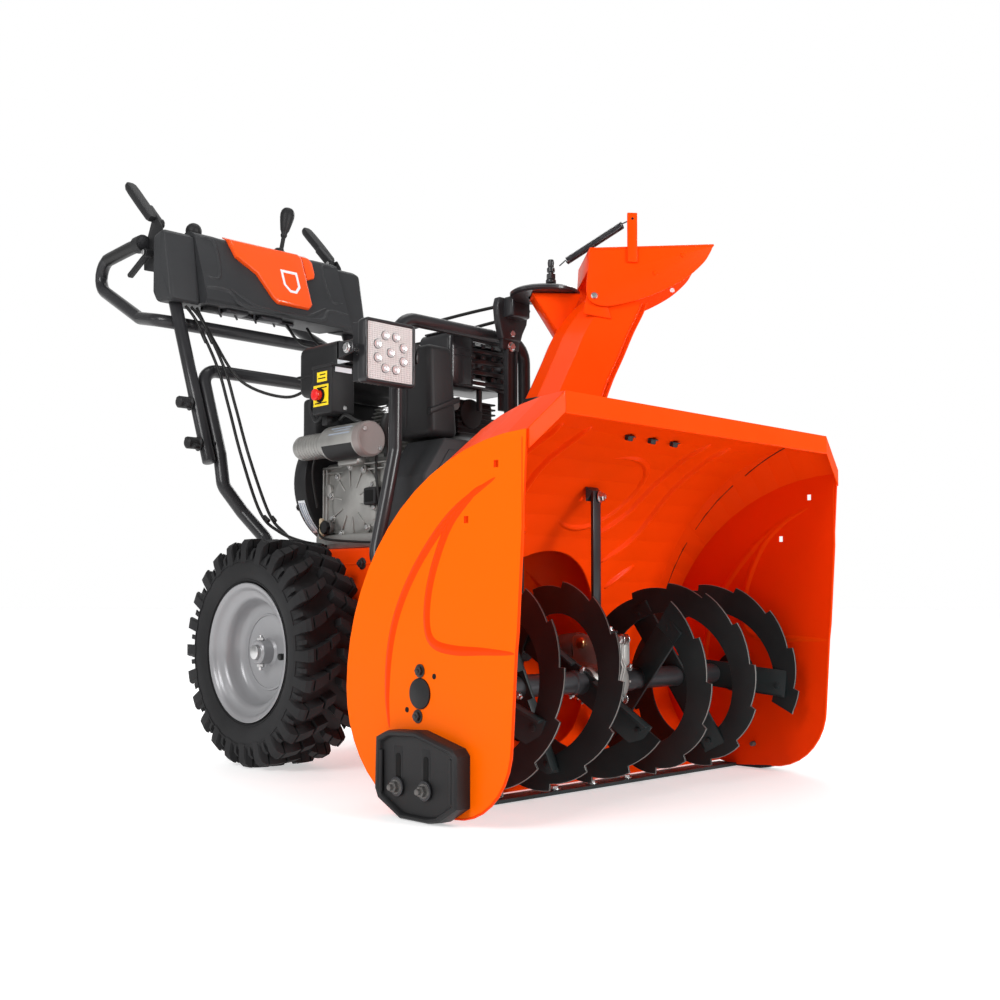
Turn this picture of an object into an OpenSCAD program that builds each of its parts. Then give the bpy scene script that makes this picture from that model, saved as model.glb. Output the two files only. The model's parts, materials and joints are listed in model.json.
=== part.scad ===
// Two-stage snow blower: auger housing, impeller, engine, chute, wheels and handle.
// +Z is up, -Y is forward. The origin lies on the ground under the middle of the machine.
// Lengths are in millimetres. Shapes are drawn with y measured from the wheel axle.

/* [Housing] */
// Overall width of the auger housing
housing_w = 700; // [680:5:720]
// Sheet thickness of the housing
sheet = 3; // [2:0.5:4]
// Outside radius of the auger flights
auger_r = 146; // [140:1:148]
// Distance along the shaft for one turn of a flight
auger_lead = 114; // [100:2:140]
// Inside radius of the impeller drum
drum_r = 155; // [150:1:158]

/* [Wheels] */
// Outside radius of a tyre
tyre_r = 190; // [180:1:195]
// Width of a tyre
tyre_w = 127; // [110:1:130]
// Outside face of a tyre, from the middle of the machine
tyre_x = 265; // [262:1:275]
// Lugs round a tyre
tyre_lugs = 24; // [18:2:30]

/* [Chute] */
// Direction of the chute from straight ahead, towards +X
chute_yaw = 50; // [-100:5:100]
// Inside radius of the chute ring
chute_r = 75; // [70:1:78]

/* [Handle] */
// Outside radius of the handle tubes
tube_r = 12.5; // [11:0.5:13]
// Half of the distance between the grips
grip_x = 228; // [226:1:240]

/* [Hidden] */
$fn = 48;
front_y = -755;
rear_y = 612.7;
axle_y = -(front_y + rear_y) / 2;
half_w = housing_w / 2;
inner_x = half_w - sheet;
axle_z = tyre_r;
hub_pin_x = -tyre_x + 36;
auger_y = -552;
auger_z = 158;
right_front_x = 120;
left_front_x = 73;
spoke_r = 126;
flight_end = 309;
wrap_r = 155;
plate_front_y = -742;
lip_y = -752;
lip_z = 529;
lip_x = 295;
worm_rise = 45;
impeller_z = auger_z + worm_rise;
gear_module = 3;
gear_teeth = 20;
worm_starts = 2;
worm_lead = worm_starts * PI * gear_module;
drum_back_y = -300;
chute_x = 77;
chute_y = -379;
collar_z = 505;
head_z = 776;
crank_z = 471;
deck_z = 365;
box_x = 111;
hoop_y = -250;
hoop_r = 11;
leg_x = 204;
low_leg_x = 178;
leg_slope = 0.41;
pivot_z = 562;
knob_z = 640;
pivot_y = 250 + leg_slope * (pivot_z - 620);
lever_x = 204;
lever_y = 404;
lever_z = 1010;
trigger_y = 405;
trigger_z = 948;
grip_z = 972;
grip_bar_z = 807;
hinge_d = 62;
hinge_z = 762;
deflector_w = 66;
cable_r = 3;
shoe_slots = [-529, -583];
shoe_bolt_z = 40;
top_bolts = [-45, 6, 57];
top_bolt_y = -646;
bolt_gap = 0.4;

orange = [1, 0.36, 0.03];
black = [0.09, 0.09, 0.1];
dark = [0.2, 0.2, 0.21];
steel = [0.7, 0.7, 0.72];
alloy = [0.62, 0.62, 0.6];

// ---------- helpers ----------

function unit(v) = v / norm(v);
function flip(p) = [-p.x, p.y, p.z];
function reversed(list) = [for (i = [len(list) - 1:-1:0]) list[i]];

// A path whose inner corners are replaced by arcs of radius r with n steps.
function corner_arc(a, b, c, r, n) =
    let (d1 = unit(b - a), d2 = unit(c - b), turn = acos(d1 * d2))
    turn < 1 ? [b] :
    let (w = unit(d2 - (d2 * d1) * d1), start = b - d1 * r * tan(turn / 2), mid = start + r * w)
    [for (i = [0:n]) let (t = turn * i / n) mid - r * cos(t) * w + r * sin(t) * d1];
function rounded(p, r, n = 5) = [
    p[0],
    for (i = [1:len(p) - 2]) each corner_arc(p[i - 1], p[i], p[i + 1], r, n),
    p[len(p) - 1]
];

// A smooth curve through the points, with n steps between neighbours.
function spline(p, n = 4) = [
    for (i = [0:len(p) - 2]) for (k = [0:n - 1])
        let (
            t = k / n, a = p[max(i - 1, 0)], b = p[i], c = p[i + 1],
            d = p[min(i + 2, len(p) - 1)]
        )
        0.5 * (2 * b + (c - a) * t + (2 * a - 5 * b + 4 * c - d) * t * t
            + (3 * b - a - 3 * c + d) * t * t * t),
    p[len(p) - 1]
];

function tangent(p, i) = unit(p[min(i + 1, len(p) - 1)] - p[max(i - 1, 0)]);
function across(n, t) = unit(n - (n * t) * t);
function first_normal(t) = abs(t.z) < 0.9 ? across([0, 0, 1], t) : across([1, 0, 0], t);

// A round bar swept along a path.
module sweep(path, r, sides = 10) {
    count = len(path);
    normals = [
        for (i = 0, n = first_normal(tangent(path, 0)); i < count;
            i = i + 1, n = i < count ? across(n, tangent(path, i)) : n) n
    ];
    points = [
        for (i = [0:count - 1]) let (t = tangent(path, i), b = cross(t, normals[i]))
            for (k = [0:sides - 1])
                path[i] + r * (cos(360 * k / sides) * normals[i] + sin(360 * k / sides) * b)
    ];
    skin = [
        for (i = [0:count - 2]) for (k = [0:sides - 1])
            let (a = i * sides + k, b = i * sides + (k + 1) % sides)
            each [[a, b + sides, b], [a, a + sides, b + sides]]
    ];
    caps = [[for (k = [0:sides - 1]) k], [for (k = [sides - 1:-1:0]) (count - 1) * sides + k]];
    polyhedron(points, concat(skin, caps));
}

// Closed skin between cross sections that all have the same number of points. Each section
// of a thin wall runs along one side of the wall and then back along the other.
module loft(sections, wall = false) {
    count = len(sections);
    size = len(sections[0]);
    last = (count - 1) * size;
    points = [for (s = sections) each s];
    skin = [
        for (i = [0:count - 2]) for (k = [0:size - 1])
            let (a = i * size + k, b = i * size + (k + 1) % size)
            each [[a, b, b + size], [a, b + size, a + size]]
    ];
    ring_caps = [
        [for (k = [size - 1:-1:0]) k],
        [for (k = [0:size - 1]) last + k]
    ];
    wall_caps = [
        for (k = [0:size / 2 - 2]) let (far = size - 1 - k)
            each [
                [k + 1, k, far], [k + 1, far, far - 1],
                [last + k, last + k + 1, last + far], [last + k + 1, last + far - 1, last + far]
            ]
    ];
    polyhedron(points, concat(skin, wall ? wall_caps : ring_caps));
}

// A drawing in y and z, thickened along +X from x.
module yz(x, t) {
    translate([x, 0, 0]) rotate([90, 0, 90]) linear_extrude(t) children();
}

// A drawing in x and z, thickened along +Y from y.
module xz(y, t) {
    translate([0, y + t, 0]) rotate([90, 0, 0]) linear_extrude(t) children();
}

module rod_x(x0, x1, y, z, r) {
    translate([x0, y, z]) rotate([0, 90, 0]) cylinder(r = r, h = x1 - x0);
}

module rod_y(y0, y1, x, z, r) {
    translate([x, y1, z]) rotate([90, 0, 0]) cylinder(r = r, h = y1 - y0);
}

module rod_z(z0, z1, x, y, r) {
    translate([x, y, z0]) cylinder(r = r, h = z1 - z0);
}

// A shape turned about the X axis, as if drawn round +Z.
module turned_x(x, y, z) {
    translate([x, y, z]) rotate([0, 90, 0]) children();
}

module box(low, high) {
    translate(low) cube(high - low);
}

module both_sides() {
    children();
    mirror([1, 0, 0]) children();
}

// Everything is drawn from the axle and then moved so that the origin is under the middle.
module placed() {
    translate([0, axle_y, 0]) children();
}

// ---------- auger housing ----------

function plate_back() = [
    for (a = [90:-6:6]) [plate_front_y + 345 * cos(a), 157 + 322 * sin(a)],
    for (a = [0:-9:-90]) [auger_y + wrap_r * cos(a), auger_z + wrap_r * sin(a)]
];
function plate_front() = [
    for (a = [-90:-10:-180]) [-617 + 100 * cos(a), 108 + 100 * sin(a)],
    [-724, 215], [-727, 240], [-735, 363]
];

module side_plate() {
    color(orange) difference() {
        yz(inner_x, sheet) polygon(concat(plate_back(), plate_front()));
        rod_x(half_w - 10, half_w + 10, auger_y, auger_z, 20);
        for (y = shoe_slots) rod_x(half_w - 10, half_w + 10, y, shoe_bolt_z, 4 + bolt_gap);
        box([half_w - 10, -695, 437], [half_w + 10, -687, 446]);
        box([half_w - 10, -642, 372], [half_w + 10, -634, 381]);
    }
}

// Height 0 follows the side plate and height 1 the raised middle of the wrap.
function wrap_line(rise, inset) = let (
    foot = [for (a = [-76:8:-8]) [auger_y + (wrap_r - inset) * cos(a), auger_z + (wrap_r - inset) * sin(a)]],
    mid_y = plate_front_y + rise * (lip_y - plate_front_y),
    long = 345 + rise * 10 - inset,
    tall = 322 + rise * 50 - inset,
    back = [for (a = [0:6:90]) [mid_y + long * cos(a), 157 + tall * sin(a)]]
) concat(foot, back);

function wrap_ring(rise) = concat(wrap_line(rise, 0), reversed(wrap_line(rise, sheet)));

// The raised middle of the sheet slopes down to the side plates at both ends.
module shoulder() {
    loft([for (end = [[inner_x - 0.2, 0], [lip_x, 1]]) [
        for (p = wrap_ring(end[1])) [end[0], p.x, p.y]
    ]], wall = true);
}

module auger_housing() {
    color(orange) union() {
        difference() {
            union() {
                yz(-lip_x, 2 * lip_x) polygon(wrap_ring(1));
                box([-lip_x, lip_y - 3, lip_z - 26], [lip_x, lip_y + 0.5, lip_z]);
            }
            rod_y(-480, -380, 0, impeller_z, drum_r - 5);
            for (x = top_bolts) rod_z(480, 560, x, top_bolt_y, 4);
            rod_y(-560, -480, 0, 430, 4);
        }
        both_sides() shoulder();
    }
}

module wall_cut(gap) {
    yz(-half_w, housing_w) polygon(concat(
        [for (p = wrap_line(1, -gap)) p], [[lip_y, 157]]
    ));
}

module impeller_drum() {
    neck_r = chute_r + 2;
    color(orange) difference() {
        union() {
            rod_y(-470, drum_back_y, 0, impeller_z, drum_r + sheet);
            rod_z(impeller_z, collar_z, chute_x, chute_y, neck_r + sheet);
        }
        rod_y(-480, drum_back_y - sheet, 0, impeller_z, drum_r);
        intersection() {
            rod_z(impeller_z, collar_z + 1, chute_x, chute_y, neck_r);
            box([-200, -480, 0], [300, drum_back_y - sheet, collar_z + 2]);
        }
        rod_y(-310, -290, 0, impeller_z, 14);
        wall_cut(0.3);
    }
}

module chute_collar() {
    color(black) translate([chute_x, chute_y, collar_z + 0.2]) difference() {
        cylinder(r = 90, h = 15);
        translate([0, 0, -1]) cylinder(r = chute_r + 1, h = 20);
    }
}

module scraper_bar() {
    color(black) box([-inner_x + 2, -549, 1], [inner_x - 2, -515.5, 6]);
}

module gearbox_brace() {
    color(black) union() {
        box([-8.5, -545.6, 230], [8.5, -540, 446]);
        box([-14, -541, 424], [14, -534.6, 446]);
        box([-16, -572, 228.4], [16, -540, 232]);
    }
}

// Carriage bolts, nuts and washers of the housing.
module housing_bolts() {
    color(steel) {
        both_sides() {
            for (y = shoe_slots) {
                rod_x(inner_x - 3, half_w + 34, y, shoe_bolt_z, 4);
                rod_x(inner_x - 6, inner_x - 0.2, y, shoe_bolt_z, 8);
                rod_x(half_w + 24.4, half_w + 26.4, y, shoe_bolt_z, 10);
                turned_x(half_w + 26.4, y, shoe_bolt_z) cylinder(r = 7.5, h = 6, $fn = 6);
            }
        }
        for (x = top_bolts) {
            rod_z(499, 526, x, top_bolt_y, 3.6);
            rod_z(496, 501, x, top_bolt_y, 6);
        }
    }
}

// Flange bearings of the auger shaft and of the axles.
module shaft_bearings() {
    color(dark) both_sides() {
        difference() {
            union() {
                rod_x(inner_x - 14, half_w + 2, auger_y, auger_z, 19.8);
                rod_x(inner_x - 5, inner_x - 0.2, auger_y, auger_z, 34);
            }
            rod_x(inner_x - 20, half_w + 0.5, auger_y, auger_z, 11.05);
        }
        difference() {
            union() {
                rod_x(box_x - 12, box_x + 3, 0, axle_z, 17.8);
                rod_x(box_x + 0.2, box_x + 4, 0, axle_z, 28);
            }
            rod_x(box_x - 20, box_x + 10, 0, axle_z, 12.05);
        }
    }
}

module gearbox_flange(r) {
    union() {
        translate([auger_y, auger_z]) circle(r = 41 + r);
        translate([auger_y, impeller_z + 2]) square([78 + 2 * r, 44 + 2 * r], center = true);
        for (p = [[-44, 62], [44, 62], [-40, -24], [40, -24], [0, -47]])
            translate([auger_y + p.x, auger_z + p.y]) circle(r = 8 + r);
    }
}

// Two cast halves that meet on the middle plane.
module auger_gearbox() {
    color(alloy) both_sides() difference() {
        union() {
            yz(0.2, 5) gearbox_flange(0);
            rod_x(0.2, 22, auger_y, auger_z, 41);
            rod_x(20, 36, auger_y, auger_z, 20);
            intersection() {
                rod_y(auger_y - 39, auger_y + 39, 0, impeller_z, 24);
                box([0.2, -700, 150], [40, -400, 250]);
            }
        }
        rod_x(-1, 16, auger_y, auger_z, 36);
        rod_x(-1, 60, auger_y, auger_z, 11.05);
        rod_y(auger_y - 34, auger_y + 34, 0, impeller_z, 19);
        rod_y(auger_y, auger_y + 60, 0, impeller_z, 10.05);
    }
}

// ---------- auger and impeller ----------

module auger_shaft() {
    color(dark) rod_x(-inner_x + 1, inner_x - 1, auger_y, auger_z, 11);
}

function band_angle(x, front_x) = 90 + 360 * (x - front_x) / auger_lead;

// A serrated band that winds round the shaft, right-handed about +X. It faces front at front_x.
module ribbon(x0, x1, front_x, r_in, r_out) {
    steps = 30;
    thick = 3;
    tooth = 6;
    count = round((x1 - x0) / auger_lead * steps);
    sections = [
        for (i = [0:count])
            let (x = x0 + auger_lead * i / steps, a = band_angle(x, front_x), tip = r_out - tooth * (i % 2))
            [for (q = [[0, r_in], [0, tip], [thick, tip], [thick, r_in]])
                [x + q.x, -q.y * sin(a), q.y * cos(a)]]
    ];
    translate([0, auger_y, auger_z]) loft(sections);
}

// Flat spoke through the sleeve. Its ends lie on the band, half a turn apart.
module auger_spoke(x, front_x) {
    lean = atan(auger_lead / 4 / spoke_r);
    translate([x + auger_lead / 4, auger_y, auger_z]) rotate([band_angle(x, front_x), 0, 0])
        rotate([0, -lean, 0]) translate([-2.5, -21, -spoke_r]) cube([5, 42, 2 * spoke_r]);
}

// start is where the band begins and spokes are the places of the spokes' inner ends.
module auger_flight(front_x, start, spokes) {
    color(black) difference() {
        union() {
            rod_x(40, inner_x - 18, auger_y, auger_z, 16);
            ribbon(start, flight_end, front_x, auger_r - 46, auger_r);
            for (x = spokes) auger_spoke(x, front_x);
        }
        rod_x(0, half_w, auger_y, auger_z, 11.1);
    }
}

module worm_wheel() {
    r = gear_module * gear_teeth / 2;
    color([0.72, 0.5, 0.2]) translate([0, auger_y, auger_z]) difference() {
        union() {
            rod_x(-8, 8, 0, 0, r - 4);
            for (i = [0:gear_teeth - 1]) rotate([i * 360 / gear_teeth, 0, 0])
                translate([0, 0, r - 5]) rotate([0, 0, -atan(worm_lead / (PI * gear_module * 10))])
                    xz_tooth();
        }
        rod_x(-10, 10, 0, 0, 11.1);
    }
}

module xz_tooth() {
    rotate([90, 0, 90]) linear_extrude(14, center = true)
        polygon([[-2.2, 0], [2.2, 0], [1.0, 8], [-1.0, 8]]);
}

// Thread of the worm, right-handed about +Y, with its crest round the pitch line.
module worm_thread(phase) {
    steps = 20;
    count = round(steps * 34 / worm_lead);
    sections = [
        for (i = [0:count])
            let (y = -17 + worm_lead * i / steps, a = 360 * i / steps + phase)
            [for (q = [[-2.0, 9.5], [-0.8, 17.4], [0.8, 17.4], [2.0, 9.5]])
                [q.y * sin(a), y + q.x, q.y * cos(a)]]
    ];
    translate([0, auger_y, impeller_z]) loft(sections);
}

module impeller_shaft() {
    // At the bottom of the worm a gap faces the wheel's top tooth when the phase is right.
    gap_phase = 270 - 360 * 17 / worm_lead;
    color(steel) {
        rod_y(auger_y - 30, auger_y + 30, 0, impeller_z, 10);
        rod_y(auger_y + 29, -262, 0, impeller_z, 9.9);
        for (s = [0:worm_starts - 1]) worm_thread(gap_phase + 360 * s / worm_starts);
        difference() {
            rod_y(-288, -268, 0, impeller_z, 74);
            translate([0, -278, impeller_z]) rotate([90, 0, 0]) rotate_extrude()
                polygon([[64, -5.2], [80, -8], [80, 8], [64, 5.2]]);
        }
    }
}

module impeller_fan() {
    color(black) difference() {
        union() {
            rod_y(-396, -312, 0, impeller_z, 22);
            for (a = [0:90:270]) translate([0, 0, impeller_z]) rotate([0, a, 0]) {
                box([-2, -390, 18], [2, -312, 148]);
                box([-20, -316, 18], [2, -312, 140]);
            }
        }
        rod_y(-400, -300, 0, impeller_z, 10);
    }
}

// ---------- chassis and engine ----------

module chassis_box() {
    color(orange) difference() {
        box([-box_x, -298.4, 122], [box_x, 120, deck_z]);
        box([-box_x + sheet, -298.4 + sheet, 122 + sheet], [box_x - sheet, 120 - sheet, deck_z - sheet]);
        rod_x(-200, 200, 0, axle_z, 18);
        rod_y(-320, -290, 0, impeller_z, 14);
        box([-95, -294, 350], [95, -226, 370]);
        box([-60, 0, 350], [60, 90, 370]);
    }
}

module belt_cover() {
    color(black) difference() {
        xz(-274, 96) polygon([
            [-106, deck_z + 0.3], [106, deck_z + 0.3], [106, 478], [62, 540], [-62, 540], [-106, 478]
        ]);
        xz(-271, 96) polygon([
            [-103, deck_z - 1], [103, deck_z - 1], [103, 476], [60, 537], [-60, 537], [-103, 476]
        ]);
    }
}

module crankshaft() {
    color(steel) difference() {
        union() {
            rod_y(-262, 20, 0, crank_z, 12);
            rod_y(-262, -242, 0, crank_z, 36);
        }
        translate([0, -252, crank_z]) rotate([90, 0, 0]) rotate_extrude()
            polygon([[27, -5.2], [40, -8], [40, 8], [27, 5.2]]);
    }
}

module belt_loop(r_low, r_high) {
    hull() {
        translate([0, impeller_z]) circle(r = r_low);
        translate([0, crank_z]) circle(r = r_high);
    }
}

// The belt leans back a little from the impeller pulley to the engine pulley.
module auger_belt() {
    lean = 26 / (crank_z - impeller_z);
    color(black) multmatrix([
        [1, 0, 0, 0], [0, 1, lean, -lean * impeller_z], [0, 0, 1, 0], [0, 0, 0, 1]
    ]) xz(-282, 8) difference() {
        belt_loop(76, 38);
        belt_loop(75, 37);
    }
}

module engine_block() {
    color(alloy) difference() {
        union() {
            box([-96, -176, deck_z + 0.3], [92, 34, 392]);
            box([-88, -170, 391], [80, 30, 520]);
            rod_y(-176, -168, 0, crank_z, 62);
            translate([20, -70, 505]) rotate([0, 24, 0]) {
                translate([-52, -62, 0]) cube([104, 120, 110]);
                for (z = [14:14:98]) translate([-62, -70, z]) cube([124, 136, 4]);
            }
        }
        rod_y(-200, 40, 0, crank_z, 12.6);
    }
}

module engine_shroud() {
    color(black) {
        rod_y(36, 78, 0, 486, 118);
        box([-96, 36, 560], [104, 78, 640]);
        rod_y(78, 104, 0, 486, 84);
    }
}

module fuel_tank() {
    color(black) difference() {
        translate([-98, -34, 642]) cube([176, 124, 92]);
        translate([-94, -30, 646]) cube([168, 116, 84]);
        rod_z(700, 750, 30, 30, 20);
    }
}

module fuel_cap() {
    color(black) {
        rod_z(722, 734.3, 30, 30, 19);
        rod_z(734.3, 750, 30, 30, 27);
    }
}

module air_box() {
    color(black) difference() {
        box([-74, -250, 545], [-4, -141, 700]);
        box([-70, -246, 549], [-8, -145, 696]);
    }
}

module muffler() {
    color(steel) {
        rod_x(40, 138, -178, 696, 30);
        rod_x(138, 144, -178, 696, 14);
    }
}

module muffler_guard() {
    color(black) difference() {
        box([0, -218, 640], [160, -138, 738]);
        box([3, -215, 640 - 1], [157, -135, 735]);
        for (z = [658, 682, 706]) for (x = [50, 88, 124])
            box([x, -230, z], [x + 26, -210, z + 12]);
    }
}

module starter_motor() {
    color(alloy) {
        rod_y(-166, -52, -126, 543, 30);
        rod_y(-52, 34, -126, 543, 22);
        box([-110, -80, 516], [-90, -40, 528]);
    }
}

module switch_box() {
    color(black) difference() {
        box([-158, -96, 590], [-108, -40, 672]);
        rod_x(-170, -140, -66, 622, 8.6);
    }
}

module start_button() {
    color("red") union() {
        rod_x(-168, -146, -66, 622, 8.2);
        rod_x(-172, -168, -66, 622, 10);
    }
}

module recoil_grip() {
    color(black) union() {
        translate([40, 118, 560]) rotate([-25, 0, 0]) {
            box([-38, 0, -8], [38, 20, 8]);
        }
    }
}

// ---------- frame tubes ----------

function hoop_side() = [
    [-172, -397, 226], [-178, -300, 262], [-185, hoop_y, 347], [-164, hoop_y, 434],
    [-146, hoop_y, 514], [-144, hoop_y, 728]
];

module guard_hoop() {
    path = concat(hoop_side(), [for (p = reversed(hoop_side())) flip(p)]);
    color(black) {
        sweep(rounded(path, 38), hoop_r);
        // bracket of the lamp
        difference() {
            union() {
                box([-270, -268, 640], [-140, -262, 668]);
                box([-152, -268, 640], [-140, -250, 668]);
                box([-270, -300, 640], [-266, -262, 668]);
                box([-144, -300, 640], [-140, -262, 668]);
            }
            rod_x(-280, -130, -288, 654, 3.6);
        }
    }
}

module lamp_housing() {
    color(black) difference() {
        union() {
            box([-253, -312, 603], [-157, -288, 701]);
            for (z = [608:14:692]) box([-250, -290, z], [-160, -274, z + 5]);
            rod_x(-265.6, -144.4, -288, 654, 9);
            rod_x(-271, -139, -288, 654, 3.5);
        }
        box([-248.6, -314, 607.4], [-161.4, -308, 696.6]);
    }
}

module lamp_lens() {
    color([0.9, 0.92, 0.95]) box([-248.3, -312, 607.7], [-161.7, -308.2, 696.3]);
}

function low_leg() = [
    [-124.5, 58, 290], [-124.5, 100, 340], [-127, 147, 391], [-150, 184, 437],
    [-low_leg_x, 206, 486], [-low_leg_x, 250 + leg_slope * (546 - 620), 546],
    [-low_leg_x, 250 + leg_slope * (712 - 620), 712]
];

module lower_handle() {
    path = concat(low_leg(), [for (p = reversed(low_leg())) flip(p)]);
    color(dark) sweep(rounded(path, 34, 4), tube_r);
    color(dark) both_sides() {
        rod_x(-low_leg_x - 13, -low_leg_x, pivot_y, pivot_z, 9);
    }
}

function leg_at(z) = 250 + leg_slope * (z - 620);

function grip_side() = [
    [-grip_x, 424, grip_z], [-grip_x, 480, grip_z], [-grip_x, 692, 962], [-grip_x, 435, 826],
    [-grip_x, leg_at(grip_bar_z) + 22, grip_bar_z]
];

module handle_tube() {
    low = 528;
    high = 880;
    color(dark) difference() {
        union() {
            sweep(rounded(concat(grip_side(), [for (p = reversed(grip_side())) flip(p)]), 34), tube_r);
            both_sides() sweep([[-leg_x, leg_at(low), low], [-leg_x, leg_at(high), high]], tube_r, 24);
        }
        both_sides() {
            rod_x(-leg_x - 20, -leg_x + 20, pivot_y, pivot_z, 4.4);
            rod_x(-leg_x - 20, -leg_x + 20, leg_at(knob_z), knob_z, 4.4);
        }
    }
}

// Wing knobs with their bolts: the lower one is the pin that the handle folds about.
module handle_knobs() {
    color(black) both_sides() for (k = [[pivot_z, -low_leg_x - 13.4], [knob_z, -leg_x + 12]]) {
        y = leg_at(k[0]);
        rod_x(-leg_x - 18, k[1], y, k[0], 4.2);
        difference() {
            union() {
                rod_x(-leg_x - 40, -leg_x - 14, y, k[0], 11);
                turned_x(-leg_x - 40, y, k[0]) linear_extrude(14) square([44, 9], center = true);
            }
            rod_x(-leg_x - 30, 0, y, k[0], 4.2);
        }
    }
}

// ---------- console and controls ----------

module console_outline(inset) {
    offset(delta = -inset) polygon([
        [276, 835], [334, 984], [352, 992], [430, 985], [440, 950], [400, 850]
    ]);
}

module console_body() {
    color(dark) difference() {
        yz(-170, 340) console_outline(0);
        yz(-166, 332) console_outline(4);
        box([-160, 300, 820], [160, 392, 850]);
        box([34, 338, 970], [60, 394, 1000]);
        box([-168, 374, 970], [-132, 396, 1000]);
    }
}

module cap_outline(inset) {
    offset(delta = -inset) polygon([[308, 840], [336, 976], [350, 984], [378, 978], [378, 862], [366, 846]]);
}

// Plate behind each cap: it holds the lever's pin, the trigger's pin and the end of the grip.
module lever_plate() {
    grip_in = -grip_x + tube_r;
    yz(grip_in + 0.1, 4) polygon([
        [374, 985], [374, 905], [446, 925], [450, 984], [432, 990], [418, 1016], [392, 1016],
        [380, 1000]
    ]);
    rod_x(grip_in + 2, grip_in + 20, lever_y, lever_z, 4);
    rod_x(-grip_x - 10, grip_in + 2, trigger_y, trigger_z, 3.5);
}

module console_caps() {
    color(dark) both_sides() {
        difference() {
            yz(-232, 61.6) cap_outline(0);
            yz(-228, 70) cap_outline(4);
            box([-224, 300, 820], [-180, 372, 852]);
        }
        lever_plate();
        difference() {
            rod_y(424, 446, -grip_x, grip_z, tube_r + 4);
            rod_y(420, 450, -grip_x, grip_z, tube_r + 0.2);
        }
    }
}

module console_cover() {
    color(orange) difference() {
        yz(-100, 200) translate([-2.4, 1]) console_outline(-4);
        yz(-101, 202) translate([-0.2, 0.1]) console_outline(-0.6);
        box([-110, 352, 800], [110, 460, 1010]);
        box([-110, 200, 800], [110, 460, 872]);
    }
}

// A clutch lever: a paddle that is pressed down on to the grip.
module lever() {
    color(black) translate([0, lever_y, lever_z]) rotate([43, 0, 0]) difference() {
        union() {
            rod_x(-lever_x - 6, -lever_x + 6, 0, 0, 10);
            box([-lever_x - 6, 0, -9], [-lever_x + 6, 60, 9]);
            box([-lever_x - 22, 42, -8], [-lever_x + 2, 150, 9]);
        }
        rod_x(-lever_x - 20, -lever_x + 20, 0, 0, 4.1);
    }
}

module trigger() {
    color(black) translate([-grip_x, trigger_y, trigger_z]) rotate([-23, 0, 0]) difference() {
        union() {
            rod_x(-8, 8, 0, 0, 8);
            box([-6, 0, -5], [6, 80, 4]);
        }
        rod_x(-20, 20, 0, 0, 3.6);
    }
}

module speed_lever() {
    color(black) union() {
        rod_x(38, 54, 365, 962, 7);
        sweep([[46, 365, 962], [48, 365, 990], [62, 365, 1062]], 4.5, 12);
        translate([66, 365, 1078]) sphere(r = 15);
        sweep([[58, 365, 1040], [64, 365, 1070]], 9, 12);
    }
}

module chute_lever() {
    tip = 12.5;
    color(black) union() {
        rod_y(378, 392, -150, 966, 6);
        sweep([[-150, 385, 966], [-150 + 30 * sin(tip), 385, 966 + 30 * cos(tip)]], 4, 12);
        translate([-150 + 40 * sin(tip), 385, 966 + 40 * cos(tip)]) sphere(r = 16);
    }
}

// ---------- chute ----------

module chute_placed() {
    translate([chute_x, chute_y, 0]) rotate([0, 0, chute_yaw]) children();
}

// One level of the chute: d is measured forward from its turning axis. All the points lie
// in the slanting plane through (back_d, back_z) and (front_d, front_z).
function chute_section(back_d, back_z, front_d, front_z, w, inset) = let (
    deep = back_d + inset - front_d,
    v = w - inset,
    slope = (back_z - front_z) / (back_d - front_d)
)
    [
        for (q = [
            [0, -1], [0.45, -1], [0.86, -0.86], [1, -0.42], [1, 0.42], [0.86, 0.86], [0.45, 1], [0, 1]
        ]) [q.y * v, -(front_d + deep * q.x), front_z + deep * q.x * slope]
    ];

function chute_wall(l) = concat(
    chute_section(l[0], l[1], l[2], l[3], l[4], 0),
    reversed(chute_section(l[0], l[1], l[2], l[3], l[4], sheet))
);

module chute_tube() {
    levels = [
        [-70, 538, 66, 538, 66], [-56, 575, 72, 575, 64], [-32, 627, 88, 622, 62],
        [-14, 668, 106, 662, 60], [3, 707, 123, 702, 59], [30, 744, 138, 732, 58],
        [61, 771, 146, 752, 58]
    ];
    color(orange) chute_placed() union() {
        translate([0, 0, collar_z + 15.6]) rotate_extrude() polygon([
            [chute_r - 3, 0], [86, 0], [86, 4], [chute_r, 4], [chute_r, 26], [chute_r - 3, 26]
        ]);
        loft([for (l = levels) chute_wall(l)], wall = true);
        // ears and pins of the deflector's hinge
        both_sides() {
            yz(-58, 3) polygon([[-44, 734], [-90, 726], [-76, 770], [-52, 772]]);
            rod_x(-deflector_w - 4, -57, -hinge_d, hinge_z, 3.5);
            rod_x(-deflector_w - 5, -deflector_w - 0.4, -hinge_d, hinge_z, 6);
        }
        // bracket up to the head, and the spindle
        difference() {
            yz(-24, 48) polygon([[33, 775.6], [-48, 775.6], [-30, 736], [-6, 712]]);
            yz(-21, 42) polygon([[27, 772], [-60, 772], [-40, 700], [0, 700]]);
        }
        rod_z(770, 836, 0, 0, 5);
        rod_z(800, 808, 0, 0, 9);
    }
}

module chute_post() {
    color(black) union() {
        box([chute_x - 12, -286, 318], [chute_x + 12, -280, 716]);
        box([chute_x - 12, -296.5, 366.5], [chute_x + 12, -280, 372]);
        box([chute_x - 12, -296.5, 366.5], [chute_x + 12, -292, 400]);
        box([chute_x - 20, -286, 700], [chute_x + 20, -276, 740]);
    }
}

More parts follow.
